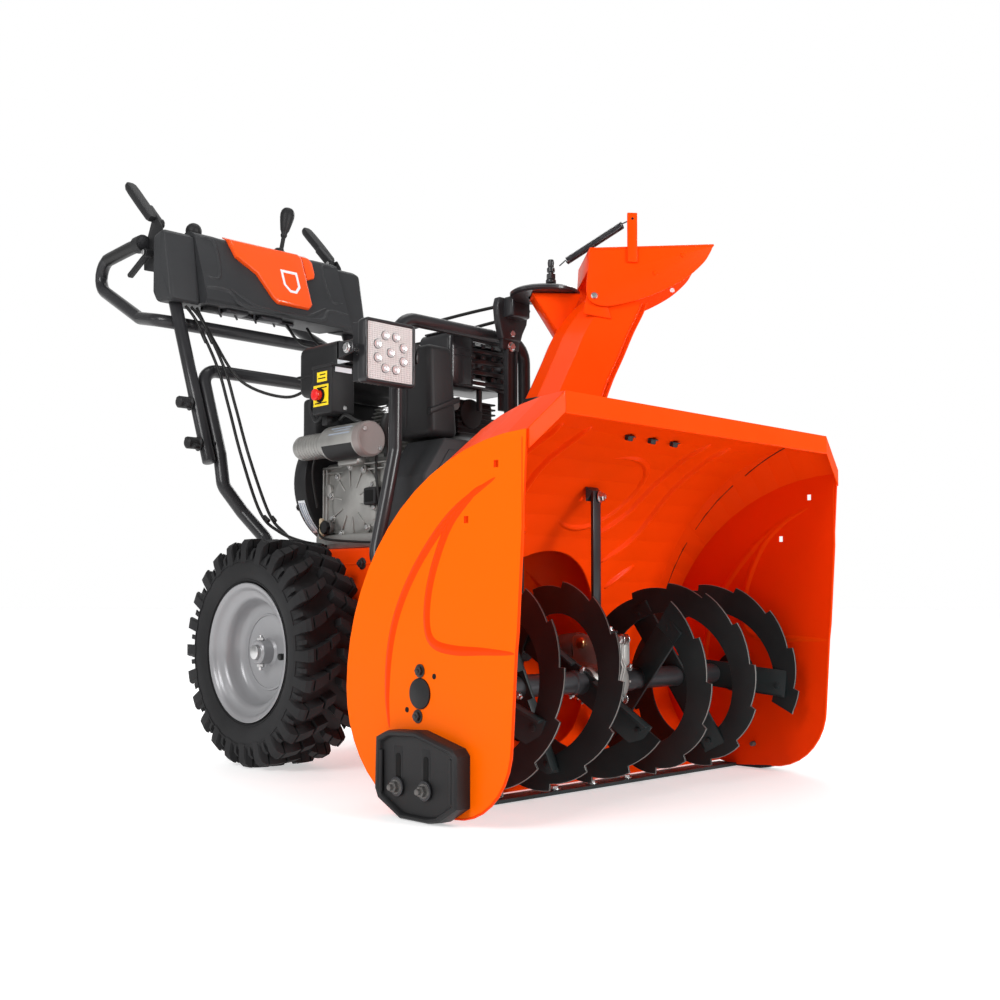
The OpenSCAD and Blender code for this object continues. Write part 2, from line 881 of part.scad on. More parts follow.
module chute_head() {
    color(black) difference() {
        union() {
            rod_z(head_z, 787, chute_x, -365, 58);
            box([chute_x - 24, -312, 716], [chute_x + 24, -274, 787]);
            rod_z(787, 795, chute_x, chute_y, 14);
        }
        rod_z(700, 800, chute_x, chute_y, 5.3);
        box([chute_x - 20.4, -286.4, 700], [chute_x + 20.4, -270, 740.4]);
    }
}

module deflector_side() {
    polygon([
        [-56.5, 835.5], [-50, 772], [-56, 760], [-70, 750], [-88, 748], [-163, 761], [-239, 804],
        [-255, 846.5]
    ]);
}

module deflector() {
    w = deflector_w;
    color(orange) chute_placed() difference() {
        union() {
            yz(-w, 2.5) deflector_side();
            yz(w - 2.5, 2.5) deflector_side();
            yz(-w, 2 * w) polygon([
                [-52.4, 804], [-54.6, 839], [-256, 849], [-255.9, 846], [-57.4, 835.9], [-55.2, 804]
            ]);
            box([-w - 4, -131, 816], [-w + 1, -115, 896]);
        }
        rod_x(-w - 10, w + 10, -hinge_d, hinge_z, 3.6);
        box([-w - 6, -125, 884], [-w + 6, -121, 888]);
    }
}

module deflector_spring() {
    color(steel) chute_placed() sweep([[-3, -14, 826], [-59.5, -121, 886.5]], 5, 10);
}

// ---------- wheels ----------

module tyre() {
    mid = tyre_x - tyre_w / 2;
    color(black) intersection() {
        turned_x(-mid, 0, axle_z) rotate_extrude() polygon([
            [117, -54], [128, -60], [160, -63.5], [178, -58], [190, -44], [190, 44],
            [178, 58], [160, 63.5], [128, 60], [117, 54], [109, 46], [109, -46]
        ]);
        turned_x(-mid, 0, axle_z) linear_extrude(tyre_w + 2, center = true) union() {
            circle(r = tyre_r - 10);
            for (i = [0:tyre_lugs - 1]) rotate(i * 360 / tyre_lugs)
                translate([tyre_r - 14, 0]) square([30, 26], center = true);
        }
    }
}

module rim() {
    color([0.72, 0.73, 0.74]) difference() {
        turned_x(-tyre_x, 0, axle_z) rotate_extrude() polygon([
            [12.2, 28], [20, 28], [20, 52], [84, 52], [88, 20], [104, 16], [108.4, 8], [116, 6],
            [116, 9], [108.6, 12], [108.6, 116], [115, 119], [115, 122], [105.6, 118],
            [105.6, 24], [92, 24], [88, 56], [20, 56], [20, 88], [12.2, 88]
        ]);
        rod_z(axle_z - 40, axle_z + 40, hub_pin_x, 0, 3.5);
        rod_x(-tyre_x, -tyre_x + 60, 96, axle_z, 4);
    }
}

// The hub turns with the axle because a pin goes through both.
module axle() {
    color(steel) {
        difference() {
            rod_x(-tyre_x + 22, -6, 0, axle_z, 12);
            rod_z(axle_z - 20, axle_z + 20, hub_pin_x, 0, 3.5);
        }
        rod_z(axle_z - 30, axle_z + 26, hub_pin_x, 0, 3.4);
    }
}

// ---------- skid shoes ----------

module shoe() {
    color(dark) difference() {
        yz(-half_w - 24, 23.6) polygon([
            [-488, 101], [-509, 110], [-567, 113], [-638, 96], [-646, 88], [-646, 24],
            [-612, 4], [-592, 0], [-537, 0], [-492, 22], [-486, 34]
        ]);
        yz(-half_w - 18, 20) polygon([
            [-494, 97], [-511, 104], [-567, 107], [-634, 91], [-640, 84], [-640, 30],
            [-610, 12], [-592, 8], [-539, 8], [-497, 28], [-492, 38]
        ]);
        for (y = shoe_slots) translate([-half_w - 30, y, 0]) {
            box([0, -4.6, shoe_bolt_z - 2], [40, 4.6, shoe_bolt_z + 38]);
            rod_x(0, 40, 0, shoe_bolt_z - 2, 4.6);
            rod_x(0, 40, 0, shoe_bolt_z + 38, 4.6);
        }
    }
}

// ---------- cables ----------

function cable_routes() = [
    [[-190, 328, 838], [-172, 314, 806], [-158, 264, 716], [-152, 234, 640], [-150, 190, 540],
        [-128, 160, 437], [-120, 110, 400], [-118, 40, 380], [-118, -20, 372]],
    [[-178, 328, 838], [-160, 312, 806], [-146, 260, 716], [-138, 232, 640], [-136, 186, 540],
        [-114, 154, 437], [-102, 122, 400], [-98, 70, 373], [-104, -10, 371]],
    [[40, 328, 838], [56, 280, 790], [70, 110, 772], [60, -60, 774], [66, -180, 778],
        [69, -272, 778]],
    [[90, 328, 838], [96, 270, 790], [96, 90, 760], [90, -80, 752], [84, -190, 756],
        [85, -272, 758]],
    [[-166, 328, 838], [-146, 300, 776], [-120, 240, 690], [-60, 180, 660], [-40, 124, 680],
        [-50, 95, 700]]
];

module control_cables() {
    color(black) for (route = cable_routes()) sweep(spline(route, 3), cable_r, 8);
}

placed() auger_housing();
placed() mirror([1, 0, 0]) side_plate();  // side_plate_right
placed() side_plate();  // side_plate_left
placed() impeller_drum();
placed() chute_collar();
placed() scraper_bar();
placed() housing_bolts();
placed() gearbox_brace();
placed() shaft_bearings();
placed() auger_gearbox();
placed() chassis_box();
placed() belt_cover();
placed() engine_block();
placed() engine_shroud();
placed() fuel_tank();
placed() air_box();
placed() muffler();
placed() muffler_guard();
placed() starter_motor();
placed() switch_box();
placed() guard_hoop();
placed() lower_handle();
placed() chute_post();
placed() chute_head();
placed() auger_belt();
placed() control_cables();
placed() tyre();  // tyre_right
placed() rim();  // rim_right
placed() axle();  // axle_right
placed() mirror([1, 0, 0]) tyre();  // tyre_left
placed() mirror([1, 0, 0]) rim();  // rim_left
placed() mirror([1, 0, 0]) axle();  // axle_left
placed() auger_shaft();
placed() mirror([1, 0, 0])  // auger_flight_right
    auger_flight(right_front_x, 16, [18, 144, 242]);
placed() auger_flight(left_front_x, 56, [59, 150, 246]);  // auger_flight_left
placed() worm_wheel();
placed() impeller_fan();
placed() impeller_shaft();
placed() crankshaft();
placed() chute_tube();
placed() deflector_spring();
placed() deflector();
placed() handle_tube();
placed() console_body();
placed() console_caps();
placed() console_cover();
placed() handle_knobs();
placed() lever();  // lever_right
placed() mirror([1, 0, 0]) lever();  // lever_left
placed() trigger();  // trigger_right
placed() mirror([1, 0, 0]) trigger();  // trigger_left
placed() speed_lever();
placed() chute_lever();
placed() lamp_housing();
placed() lamp_lens();
placed() shoe();  // shoe_right
placed() mirror([1, 0, 0]) shoe();  // shoe_left
placed() start_button();
placed() fuel_cap();
placed() recoil_grip();
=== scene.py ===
# Looks of a two-stage snow blower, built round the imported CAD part.
# Shapes are written in millimetres in the machine's own frame, whose y is measured from the
# wheel axle. Piece.done() turns them into metres in the row frame.
import json
import math

import bmesh
import bpy
from mathutils import Matrix, Vector
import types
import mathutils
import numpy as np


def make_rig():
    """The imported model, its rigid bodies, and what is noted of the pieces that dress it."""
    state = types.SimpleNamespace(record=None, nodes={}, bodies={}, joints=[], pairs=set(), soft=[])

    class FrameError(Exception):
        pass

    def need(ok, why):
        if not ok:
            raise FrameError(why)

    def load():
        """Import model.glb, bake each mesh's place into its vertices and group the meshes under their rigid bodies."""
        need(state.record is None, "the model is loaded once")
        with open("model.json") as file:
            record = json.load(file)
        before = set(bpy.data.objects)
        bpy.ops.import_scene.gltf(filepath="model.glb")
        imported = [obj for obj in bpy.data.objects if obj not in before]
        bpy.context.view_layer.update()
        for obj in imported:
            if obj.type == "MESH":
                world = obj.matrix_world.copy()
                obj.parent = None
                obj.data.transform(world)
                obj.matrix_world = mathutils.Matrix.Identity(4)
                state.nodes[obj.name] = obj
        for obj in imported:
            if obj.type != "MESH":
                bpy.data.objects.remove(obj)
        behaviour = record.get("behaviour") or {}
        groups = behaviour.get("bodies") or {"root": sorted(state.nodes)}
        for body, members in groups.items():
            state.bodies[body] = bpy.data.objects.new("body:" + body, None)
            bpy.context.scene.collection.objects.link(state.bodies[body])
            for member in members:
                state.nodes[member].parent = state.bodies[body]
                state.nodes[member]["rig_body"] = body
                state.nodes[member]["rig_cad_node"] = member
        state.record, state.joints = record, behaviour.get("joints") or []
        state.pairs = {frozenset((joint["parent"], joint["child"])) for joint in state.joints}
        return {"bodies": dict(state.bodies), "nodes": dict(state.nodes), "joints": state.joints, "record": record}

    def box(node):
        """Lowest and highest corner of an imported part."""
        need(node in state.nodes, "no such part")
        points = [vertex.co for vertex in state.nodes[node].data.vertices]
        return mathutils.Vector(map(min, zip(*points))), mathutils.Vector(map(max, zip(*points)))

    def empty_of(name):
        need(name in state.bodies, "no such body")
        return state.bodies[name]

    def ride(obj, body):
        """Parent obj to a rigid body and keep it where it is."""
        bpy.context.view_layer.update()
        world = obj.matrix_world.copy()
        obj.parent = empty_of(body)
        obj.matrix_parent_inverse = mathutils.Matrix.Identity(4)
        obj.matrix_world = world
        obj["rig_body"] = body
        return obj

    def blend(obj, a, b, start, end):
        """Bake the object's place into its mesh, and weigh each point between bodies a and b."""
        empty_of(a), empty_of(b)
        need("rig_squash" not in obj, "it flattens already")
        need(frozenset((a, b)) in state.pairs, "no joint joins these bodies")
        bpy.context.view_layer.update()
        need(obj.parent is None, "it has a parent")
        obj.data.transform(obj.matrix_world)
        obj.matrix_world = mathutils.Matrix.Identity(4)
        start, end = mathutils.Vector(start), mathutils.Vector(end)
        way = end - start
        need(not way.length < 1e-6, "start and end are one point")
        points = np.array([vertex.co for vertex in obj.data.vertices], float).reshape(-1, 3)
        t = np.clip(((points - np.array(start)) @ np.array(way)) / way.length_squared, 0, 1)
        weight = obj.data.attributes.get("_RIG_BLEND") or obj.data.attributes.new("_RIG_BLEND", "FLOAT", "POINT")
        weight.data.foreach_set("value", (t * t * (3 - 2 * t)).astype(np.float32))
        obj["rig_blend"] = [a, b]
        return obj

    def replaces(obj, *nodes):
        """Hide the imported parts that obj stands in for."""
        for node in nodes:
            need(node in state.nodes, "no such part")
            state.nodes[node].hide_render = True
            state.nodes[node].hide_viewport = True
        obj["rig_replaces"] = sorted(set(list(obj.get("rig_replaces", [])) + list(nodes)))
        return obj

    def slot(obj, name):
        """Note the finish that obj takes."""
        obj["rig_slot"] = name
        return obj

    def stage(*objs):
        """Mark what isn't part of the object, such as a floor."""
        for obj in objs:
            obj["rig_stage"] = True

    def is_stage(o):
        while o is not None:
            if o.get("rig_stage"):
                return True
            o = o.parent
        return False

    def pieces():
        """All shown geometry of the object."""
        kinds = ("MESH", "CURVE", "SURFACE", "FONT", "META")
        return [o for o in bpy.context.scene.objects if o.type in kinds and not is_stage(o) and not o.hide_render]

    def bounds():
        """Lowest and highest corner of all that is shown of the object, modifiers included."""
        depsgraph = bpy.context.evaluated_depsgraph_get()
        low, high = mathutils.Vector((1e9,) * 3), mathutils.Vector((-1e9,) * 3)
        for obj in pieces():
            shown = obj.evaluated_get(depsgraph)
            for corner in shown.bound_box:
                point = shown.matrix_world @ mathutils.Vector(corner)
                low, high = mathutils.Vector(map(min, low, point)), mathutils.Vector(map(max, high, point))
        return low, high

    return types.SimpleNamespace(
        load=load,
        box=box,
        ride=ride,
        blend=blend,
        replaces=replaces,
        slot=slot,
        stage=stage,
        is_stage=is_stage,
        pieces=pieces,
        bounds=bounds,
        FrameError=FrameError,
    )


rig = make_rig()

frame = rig.load()
cad_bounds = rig.bounds()

TAU = 2 * math.pi
WHEEL_AT = (0, 0, 190)
MM = 0.001
AXLE = [(a + b) / 2 / MM for a, b in zip(*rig.box("axle_left"))]
AXLE_Y = AXLE[1]


def P(x, y, z):
    """A point of the machine, in millimetres, as metres in the row frame."""
    return Vector((x * MM, (y + AXLE_Y) * MM, z * MM))


# ---------------------------------------------------------------- materials

def make_material(name, color, rough, metallic=0.0, coat=0.0, grain=300.0, bump=0.02, tint=0.04,
                  rough_vary=0.06, coat_rough=0.08, blotch=9.0,
                  bump_distance=0.001, spec=0.28, lit_outside_color=None):
    """A surface with slightly uneven colour and gloss, and a fine grain. A lit colour, if given, is painted onto the
    faces that look away from the middle plane as painted light.
    """
    mat = bpy.data.materials.new(name)
    mat.use_nodes = True
    nodes = mat.node_tree.nodes
    links = mat.node_tree.links
    shader = nodes["Principled BSDF"]
    shader.inputs["Metallic"].default_value = metallic
    shader.inputs["Coat Weight"].default_value = coat
    shader.inputs["Coat Roughness"].default_value = coat_rough
    shader.inputs["IOR"].default_value = 1.45
    shader.inputs["Specular IOR Level"].default_value = spec
    place = nodes.new("ShaderNodeTexCoord")
    blotches = nodes.new("ShaderNodeTexNoise")
    blotches.inputs["Scale"].default_value = blotch
    blotches.inputs["Detail"].default_value = 5.0
    links.new(place.outputs["Object"], blotches.inputs["Vector"])
    ramp = nodes.new("ShaderNodeValToRGB")
    ramp.color_ramp.elements[0].position = 0.3
    ramp.color_ramp.elements[1].position = 0.7
    ramp.color_ramp.elements[0].color = [c * (1 - tint) for c in color] + [1]
    ramp.color_ramp.elements[1].color = [min(1, c * (1 + tint) + tint * 0.02) for c in color] + [1]
    links.new(blotches.outputs["Fac"], ramp.inputs["Fac"])
    color_out = ramp.outputs["Color"]
    grains = nodes.new("ShaderNodeTexNoise")
    grains.inputs["Scale"].default_value = grain
    grains.inputs["Detail"].default_value = 3.0
    links.new(place.outputs["Object"], grains.inputs["Vector"])
    if lit_outside_color:
        # painted light and shade: the faces that look away from the middle plane get the lighter lit colour, and the
        # faces towards it keep the darker, redder shaded colour
        where = nodes.new("ShaderNodeNewGeometry")
        both = nodes.new("ShaderNodeVectorMath")
        both.operation = "MULTIPLY"
        links.new(where.outputs["Position"], both.inputs[0])
        links.new(where.outputs["Normal"], both.inputs[1])
        part = nodes.new("ShaderNodeSeparateXYZ")
        links.new(both.outputs["Vector"], part.inputs["Vector"])
        away = nodes.new("ShaderNodeMapRange")
        away.inputs["From Max"].default_value = 0.2
        links.new(part.outputs["X"], away.inputs["Value"])
        shade = nodes.new("ShaderNodeMix")
        shade.data_type = "RGBA"
        shade.inputs["B"].default_value = (*lit_outside_color, 1)
        links.new(away.outputs["Result"], shade.inputs["Factor"])
        links.new(color_out, shade.inputs["A"])
        color_out = shade.outputs["Result"]
    links.new(color_out, shader.inputs["Base Color"])
    gloss = nodes.new("ShaderNodeMapRange")
    gloss.inputs["To Min"].default_value = max(0.02, rough - rough_vary)
    gloss.inputs["To Max"].default_value = min(1.0, rough + rough_vary)
    links.new(blotches.outputs["Fac"], gloss.inputs["Value"])
    links.new(gloss.outputs["Result"], shader.inputs["Roughness"])
    relief = nodes.new("ShaderNodeBump")
    relief.inputs["Strength"].default_value = bump
    relief.inputs["Distance"].default_value = bump_distance
    links.new(grains.outputs["Fac"], relief.inputs["Height"])
    links.new(relief.outputs["Normal"], shader.inputs["Normal"])
    return mat


# the paint's own orange, made redder and darker to match the shaded inside of the housing, so part of it is painted
# shade
ORANGE = make_material("orange_powder", (0.86, 0.052, 0.0006), 0.36, coat=0.02, grain=420, bump=0.04,
                       tint=0.03, spec=0.05)
# side plates: darker, redder orange on their inside faces as painted shade, lighter orange on their outside faces as
# painted light
ORANGE_SIDE_LIT_AND_SHADED = make_material("orange_side_lit_and_shaded", (0.86, 0.04, 0.0006), 0.36, coat=0.02, grain=420, bump=0.04,
                            tint=0.03, spec=0.05, lit_outside_color=(0.9, 0.124, 0.0004))
ORANGE_GLOSS = make_material("orange_plastic", (0.9, 0.085, 0.006), 0.22, coat=0.6, grain=600, bump=0.01, tint=0.03)
BLACK_PAINT = make_material("black_powder", (0.018, 0.018, 0.02), 0.36, coat=0.25, grain=500, bump=0.06,
                            tint=0.2)
AUGER_BLACK = make_material("auger_paint", (0.011, 0.017, 0.018), 0.46, coat=0.04, grain=260, bump=0.08,
                            tint=0.3)
PLASTIC = make_material("black_plastic", (0.014, 0.014, 0.015), 0.5, grain=900, bump=0.15, tint=0.15)
GREY_PLASTIC = make_material("grey_plastic", (0.026, 0.027, 0.029), 0.5, grain=1000, bump=0.16, tint=0.1)
RUBBER = make_material("tyre_rubber", (0.014, 0.014, 0.015), 0.72, grain=700, bump=0.22, tint=0.25)
HOSE = make_material("smooth_rubber", (0.012, 0.012, 0.012), 0.4, grain=500, bump=0.03, tint=0.2)
CAST = make_material("cast_alloy", (0.36, 0.355, 0.34), 0.46, metallic=0.75, grain=190, bump=0.3, tint=0.14,
                     rough_vary=0.12, blotch=24)
CAST_DARK = make_material("cast_dark", (0.16, 0.155, 0.15), 0.45, metallic=0.6, grain=200, bump=0.3, tint=0.2,
                          blotch=20)
ZINC = make_material("zinc_steel", (0.6, 0.6, 0.6), 0.28, metallic=1.0, grain=240, bump=0.05, tint=0.1, blotch=40)
TAUPE = make_material("taupe_paint", (0.26, 0.225, 0.215), 0.4, metallic=0.3, coat=0.2, grain=300, bump=0.05)
RIM_PAINT = make_material("rim_silver", (0.3, 0.3, 0.31), 0.38, metallic=0.3, coat=0.2, grain=350, bump=0.03,
                          tint=0.03)
DARK_STEEL = make_material("dark_steel", (0.06, 0.06, 0.065), 0.36, metallic=0.7, grain=300, bump=0.08, tint=0.2)
COPPER = make_material("copper", (0.7, 0.33, 0.16), 0.3, metallic=1.0, grain=300, bump=0.05)
BRONZE = make_material("bronze", (0.5, 0.32, 0.13), 0.35, metallic=1.0, grain=300, bump=0.1)
RED = make_material("red_plastic", (0.75, 0.012, 0.012), 0.25, coat=0.4, grain=600, bump=0.02)
YELLOW = make_material("yellow_label", (0.9, 0.66, 0.02), 0.4, grain=600, bump=0.02, tint=0.05)
WHITE = make_material("white_label", (0.75, 0.77, 0.8), 0.4, grain=600, bump=0.02, tint=0.04)
BLUE_GREY = make_material("print_grey", (0.3, 0.34, 0.4), 0.4, grain=600, bump=0.02)
BEIGE = make_material("beige_plastic", (0.52, 0.42, 0.29), 0.45, grain=600, bump=0.05)
LED = make_material("led_reflector", (0.62, 0.62, 0.62), 0.16, metallic=0.4, grain=300, bump=0.02)
LENS_GREY = make_material("lens_back", (0.42, 0.41, 0.405), 0.4, coat=0.1, grain=300, bump=0.1)
LENS_LINE = make_material("lens_line", (0.72, 0.7, 0.69), 0.35, grain=300, bump=0.02)
# lighter grey metal for the tooth tips of the auger flights: painted highlight
TOOTH_TIP_HIGHLIGHT = make_material("tooth_tip_highlight", (0.2, 0.19, 0.18), 0.4, metallic=0.5, grain=260, bump=0.05, tint=0.3)
# near-black: painted shade in holes and slots, and the colour of seams and printed marks
HOLE_SHADE_SEAM_PRINT_BLACK = make_material("hole_shade_seam_print_black", (0.004, 0.004, 0.004), 0.8, grain=300, bump=0.02)


def make_floor_material():
    """Pale glowing floor, even far from the machine, with a painted shadow close to it."""
    mat = bpy.data.materials.new("floor_white")
    mat.use_nodes = True
    shader = mat.node_tree.nodes["Principled BSDF"]
    shader.inputs["Base Color"].default_value = (0.72, 0.72, 0.72, 1)
    shader.inputs["Roughness"].default_value = 0.6
    shader.inputs["Specular IOR Level"].default_value = 0.1
    shader.inputs["Emission Color"].default_value = (1, 1, 1, 1)
    # painted shadow: the floor glows less close to the machine, which leaves it a soft shadow
    nodes, links = mat.node_tree.nodes, mat.node_tree.links
    place = nodes.new("ShaderNodeNewGeometry")
    away = nodes.new("ShaderNodeVectorMath")
    away.operation = "DISTANCE"
    away.inputs[1].default_value = (0.15, -0.45, 0)
    glow = nodes.new("ShaderNodeMapRange")
    glow.interpolation_type = "SMOOTHSTEP"
    glow.inputs["From Min"].default_value = 0.2
    glow.inputs["From Max"].default_value = 1.1
    glow.inputs["To Min"].default_value = 0.42
    glow.inputs["To Max"].default_value = 0.66
    links.new(place.outputs["Position"], away.inputs[0])
    links.new(away.outputs["Value"], glow.inputs["Value"])
    links.new(glow.outputs["Result"], shader.inputs["Emission Strength"])
    return mat


# ---------------------------------------------------------------- mesh tools

def unit(v):
    return Vector(v).normalized()


def rounded(points, radius, steps=6):
    """The path with each inner corner replaced by an arc."""
    points = [Vector(p) for p in points]
    out = [points[0]]
    for a, b, c in zip(points, points[1:], points[2:]):
        d1, d2 = unit(b - a), unit(c - b)
        turn = math.acos(max(-1.0, min(1.0, d1.dot(d2))))
        if turn < 0.02:
            out.append(b)
            continue
        w = unit(d2 - d1 * d2.dot(d1))
        start = b - d1 * radius * math.tan(turn / 2)
        mid = start + w * radius
        for i in range(steps + 1):
            t = turn * i / steps
            out.append(mid - w * radius * math.cos(t) + d1 * radius * math.sin(t))
    out.append(points[-1])
    return out


def spline(points, n=5):
    """A smooth curve through the points."""
    p = [Vector(q) for q in points]
    out = []
    for i in range(len(p) - 1):
        a, b, c, d = p[max(i - 1, 0)], p[i], p[i + 1], p[min(i + 2, len(p) - 1)]
        for k in range(n):
            t = k / n
            out.append(0.5 * (2 * b + (c - a) * t + (2 * a - 5 * b + 4 * c - d) * t * t
                              + (3 * b - a - 3 * c + d) * t ** 3))
    out.append(p[-1])
    return out


def mirror_x(points):
    return [(-x, y, z) for x, y, z in points]


class Piece:
    """Collects shapes in millimetres into one object with several materials."""

    def __init__(self, name, mat, at=None):
        self.name = name
        self.bm = bmesh.new()
        self.mats = []
        self.at = at or Matrix.Identity(4)
        self.use(mat)

    def use(self, mat):
        if mat not in self.mats:
            self.mats.append(mat)
        self.index = self.mats.index(mat)
        return self

    def add(self, verts, faces, bevel=0.0, seg=2, sharp=35, at=None, flip=True):
        part = bmesh.new()
        made = [part.verts.new(v) for v in verts]
        for f in faces:
            part.faces.new([made[i] for i in f])
        if flip:
            bmesh.ops.recalc_face_normals(part, faces=part.faces)
        if bevel:
            edges = [e for e in part.edges if len(e.link_faces) == 2 and e.calc_face_angle(0) > 0.5]
            bmesh.ops.bevel(part, geom=edges, offset=bevel, segments=seg, profile=0.5, affect="EDGES",
                            clamp_overlap=True)
        self.take(part, sharp, at)
        return self

    def take(self, part, sharp=35, at=None):
        """Adds a finished bmesh, smooth except at its sharp edges."""
        limit = math.radians(sharp)
        for f in part.faces:
            f.smooth = True
            f.material_index = self.index
        for e in part.edges:
            if len(e.link_faces) == 2 and e.calc_face_angle(0) > limit:
                e.smooth = False
        place = self.at @ at if at is not None else self.at
        bmesh.ops.transform(part, matrix=place, verts=part.verts)
        if place.determinant() < 0:
            bmesh.ops.reverse_faces(part, faces=part.faces)
        data = bpy.data.meshes.new("part")
        part.to_mesh(data)
        part.free()
        self.bm.from_mesh(data)
        bpy.data.meshes.remove(data)

    def box(self, lo, hi, bevel=0.0, seg=2, at=None):
        x0, y0, z0 = lo
        x1, y1, z1 = hi
        verts = [(x, y, z) for x in (x0, x1) for y in (y0, y1) for z in (z0, z1)]
        faces = [(0, 1, 3, 2), (4, 6, 7, 5), (0, 4, 5, 1), (2, 3, 7, 6), (0, 2, 6, 4), (1, 5, 7, 3)]
        return self.add(verts, faces, bevel, seg, at=at)

    def loft(self, rings, closed=True, caps=True, bevel=0.0, sharp=35, at=None, loop=False):
        """Skin over rings of equal length. closed joins each ring to itself, loop the last to the first."""
        n = len(rings[0])
        count = len(rings)
        verts = [p for r in rings for p in r]
        faces = []
        for i in range(count if loop else count - 1):
            j = (i + 1) % count
            for k in range(n if closed else n - 1):
                m = (k + 1) % n
                faces.append((i * n + k, i * n + m, j * n + m, j * n + k))
        if caps and not loop:
            faces.append(tuple(range(n - 1, -1, -1)))
            faces.append(tuple((count - 1) * n + k for k in range(n)))
        return self.add(verts, faces, bevel, sharp=sharp, at=at)

    def prism(self, outline, axis, t0, t1, bevel=0.0, seg=2, sharp=35, at=None):
        """An outline of (a, b) pairs in the plane across axis, from t0 to t1 along it."""
        put = {"x": lambda a, b, t: (t, a, b), "y": lambda a, b, t: (a, t, b), "z": lambda a, b, t: (a, b, t)}[axis]
        rings = [[put(a, b, t) for a, b in outline] for t in (t0, t1)]
        n = len(outline)
        verts = rings[0] + rings[1]
        faces = [tuple(range(n)), tuple(range(2 * n - 1, n - 1, -1))]
        faces += [(k, (k + 1) % n, n + (k + 1) % n, n + k) for k in range(n)]
        return self.add(verts, faces, bevel, seg, sharp, at)

    def lathe(self, profile, centre, axis="x", n=48, sharp=35, at=None, closed=True):
        """Turns (radius, distance along the axis) pairs. A closed profile is a solid ring or body."""
        turn = {"x": lambda r, t, c, s: (t, r * c, r * s), "y": lambda r, t, c, s: (r * c, t, r * s),
                "z": lambda r, t, c, s: (r * c, r * s, t)}[axis]
        part = bmesh.new()
        cx, cy, cz = centre
        rows = []
        for k in range(n):
            c, s = math.cos(TAU * k / n), math.sin(TAU * k / n)
            rows.append([part.verts.new(Vector(turn(r, t, c, s)) + Vector((cx, cy, cz))) for r, t in profile])
        m = len(profile)
        for k in range(n):
            a, b = rows[k], rows[(k + 1) % n]
            for i in range(m if closed else m - 1):
                j = (i + 1) % m
                part.faces.new((a[i], a[j], b[j], b[i]))
        bmesh.ops.remove_doubles(part, verts=part.verts, dist=0.001)
        bmesh.ops.recalc_face_normals(part, faces=part.faces)
        self.take(part, sharp, at)
        return self

    def cyl(self, p0, p1, r, n=24, bevel=0.0, r1=None, at=None, sharp=35):
        """A round bar from p0 to p1, with bevelled ends."""
        p0, p1 = Vector(p0), Vector(p1)
        r1 = r if r1 is None else r1
        d = unit(p1 - p0)
        up = Vector((0, 0, 1)) if abs(d.z) < 0.9 else Vector((1, 0, 0))
        u = d.cross(up).normalized()
        v = d.cross(u)
        b = bevel
        stations = [(p0, r)] if not b else [(p0, r - b), (p0 + d * b * 0.3, r - b * 0.3), (p0 + d * b, r)]
        stations += [(p1, r1)] if not b else [(p1 - d * b, r1), (p1 - d * b * 0.3, r1 - b * 0.3), (p1, r1 - b)]
        rings = [[q + (u * math.cos(TAU * k / n) + v * math.sin(TAU * k / n)) * rr for k in range(n)]
                 for q, rr in stations]
        return self.loft(rings, sharp=sharp, at=at)

    def tube(self, path, r, n=16, caps=True, at=None, sharp=40):
        """A round bar swept along a path. r may be one radius or one for each point."""
        path = [Vector(p) for p in path]
        count = len(path)
        radii = r if isinstance(r, (list, tuple)) else [r] * count
        tangents = [unit(path[min(i + 1, count - 1)] - path[max(i - 1, 0)]) for i in range(count)]
        normal = Vector((0, 0, 1)) if abs(tangents[0].z) < 0.9 else Vector((1, 0, 0))
        rings = []
        for p, t, rr in zip(path, tangents, radii):
            normal = unit(normal - t * normal.dot(t))
            side = t.cross(normal)
            rings.append([p + (normal * math.cos(TAU * k / n) + side * math.sin(TAU * k / n)) * rr
                          for k in range(n)])
        return self.loft(rings, caps=caps, sharp=sharp, at=at)

    def bolt(self, p, d, r=7.0, head=4.5, washer=True, stud=0.0):
        """A hexagon head on a washer at p, standing out along d."""
        p, d = Vector(p), unit(d)
        if washer:
            self.cyl(p - d * 0.5, p + d * 1.3, r * 1.35, 20, 0.4)
        up = Vector((0, 0, 1)) if abs(d.z) < 0.9 else Vector((1, 0, 0))
        u = d.cross(up).normalized()
        v = d.cross(u)
        base = 1.2 if washer else 0.0
        rings = []
        for t, rr in ((base, r), (base + head * 0.8, r), (base + head, r * 0.86)):
            rings.append([p + d * t + (u * math.cos(TAU * k / 6) + v * math.sin(TAU * k / 6)) * rr for k in range(6)])
        self.loft(rings, sharp=20)
        if stud:
            self.cyl(p + d * base, p + d * (base + head + stud), r * 0.5, 14, 0.5)
        return self

    def done(self, body, replaces=(), slot=None):
        for v in self.bm.verts:
            v.co = P(*v.co)
        data = bpy.data.meshes.new(self.name)
        self.bm.to_mesh(data)
        self.bm.free()
        for mat in self.mats:
            data.materials.append(mat)
        obj = bpy.data.objects.new(self.name, data)
        bpy.context.scene.collection.objects.link(obj)
        if body:
            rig.ride(obj, body)
        if replaces:
            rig.replaces(obj, *replaces)
        if slot:
            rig.slot(obj, slot)
        return obj


def paint(node, *mats):
    """Gives a CAD node its finished material."""
    data = frame["nodes"][node].data
    data.materials.clear()
    for mat in mats:
        data.materials.append(mat)


# ---------------------------------------------------------------- CAD nodes

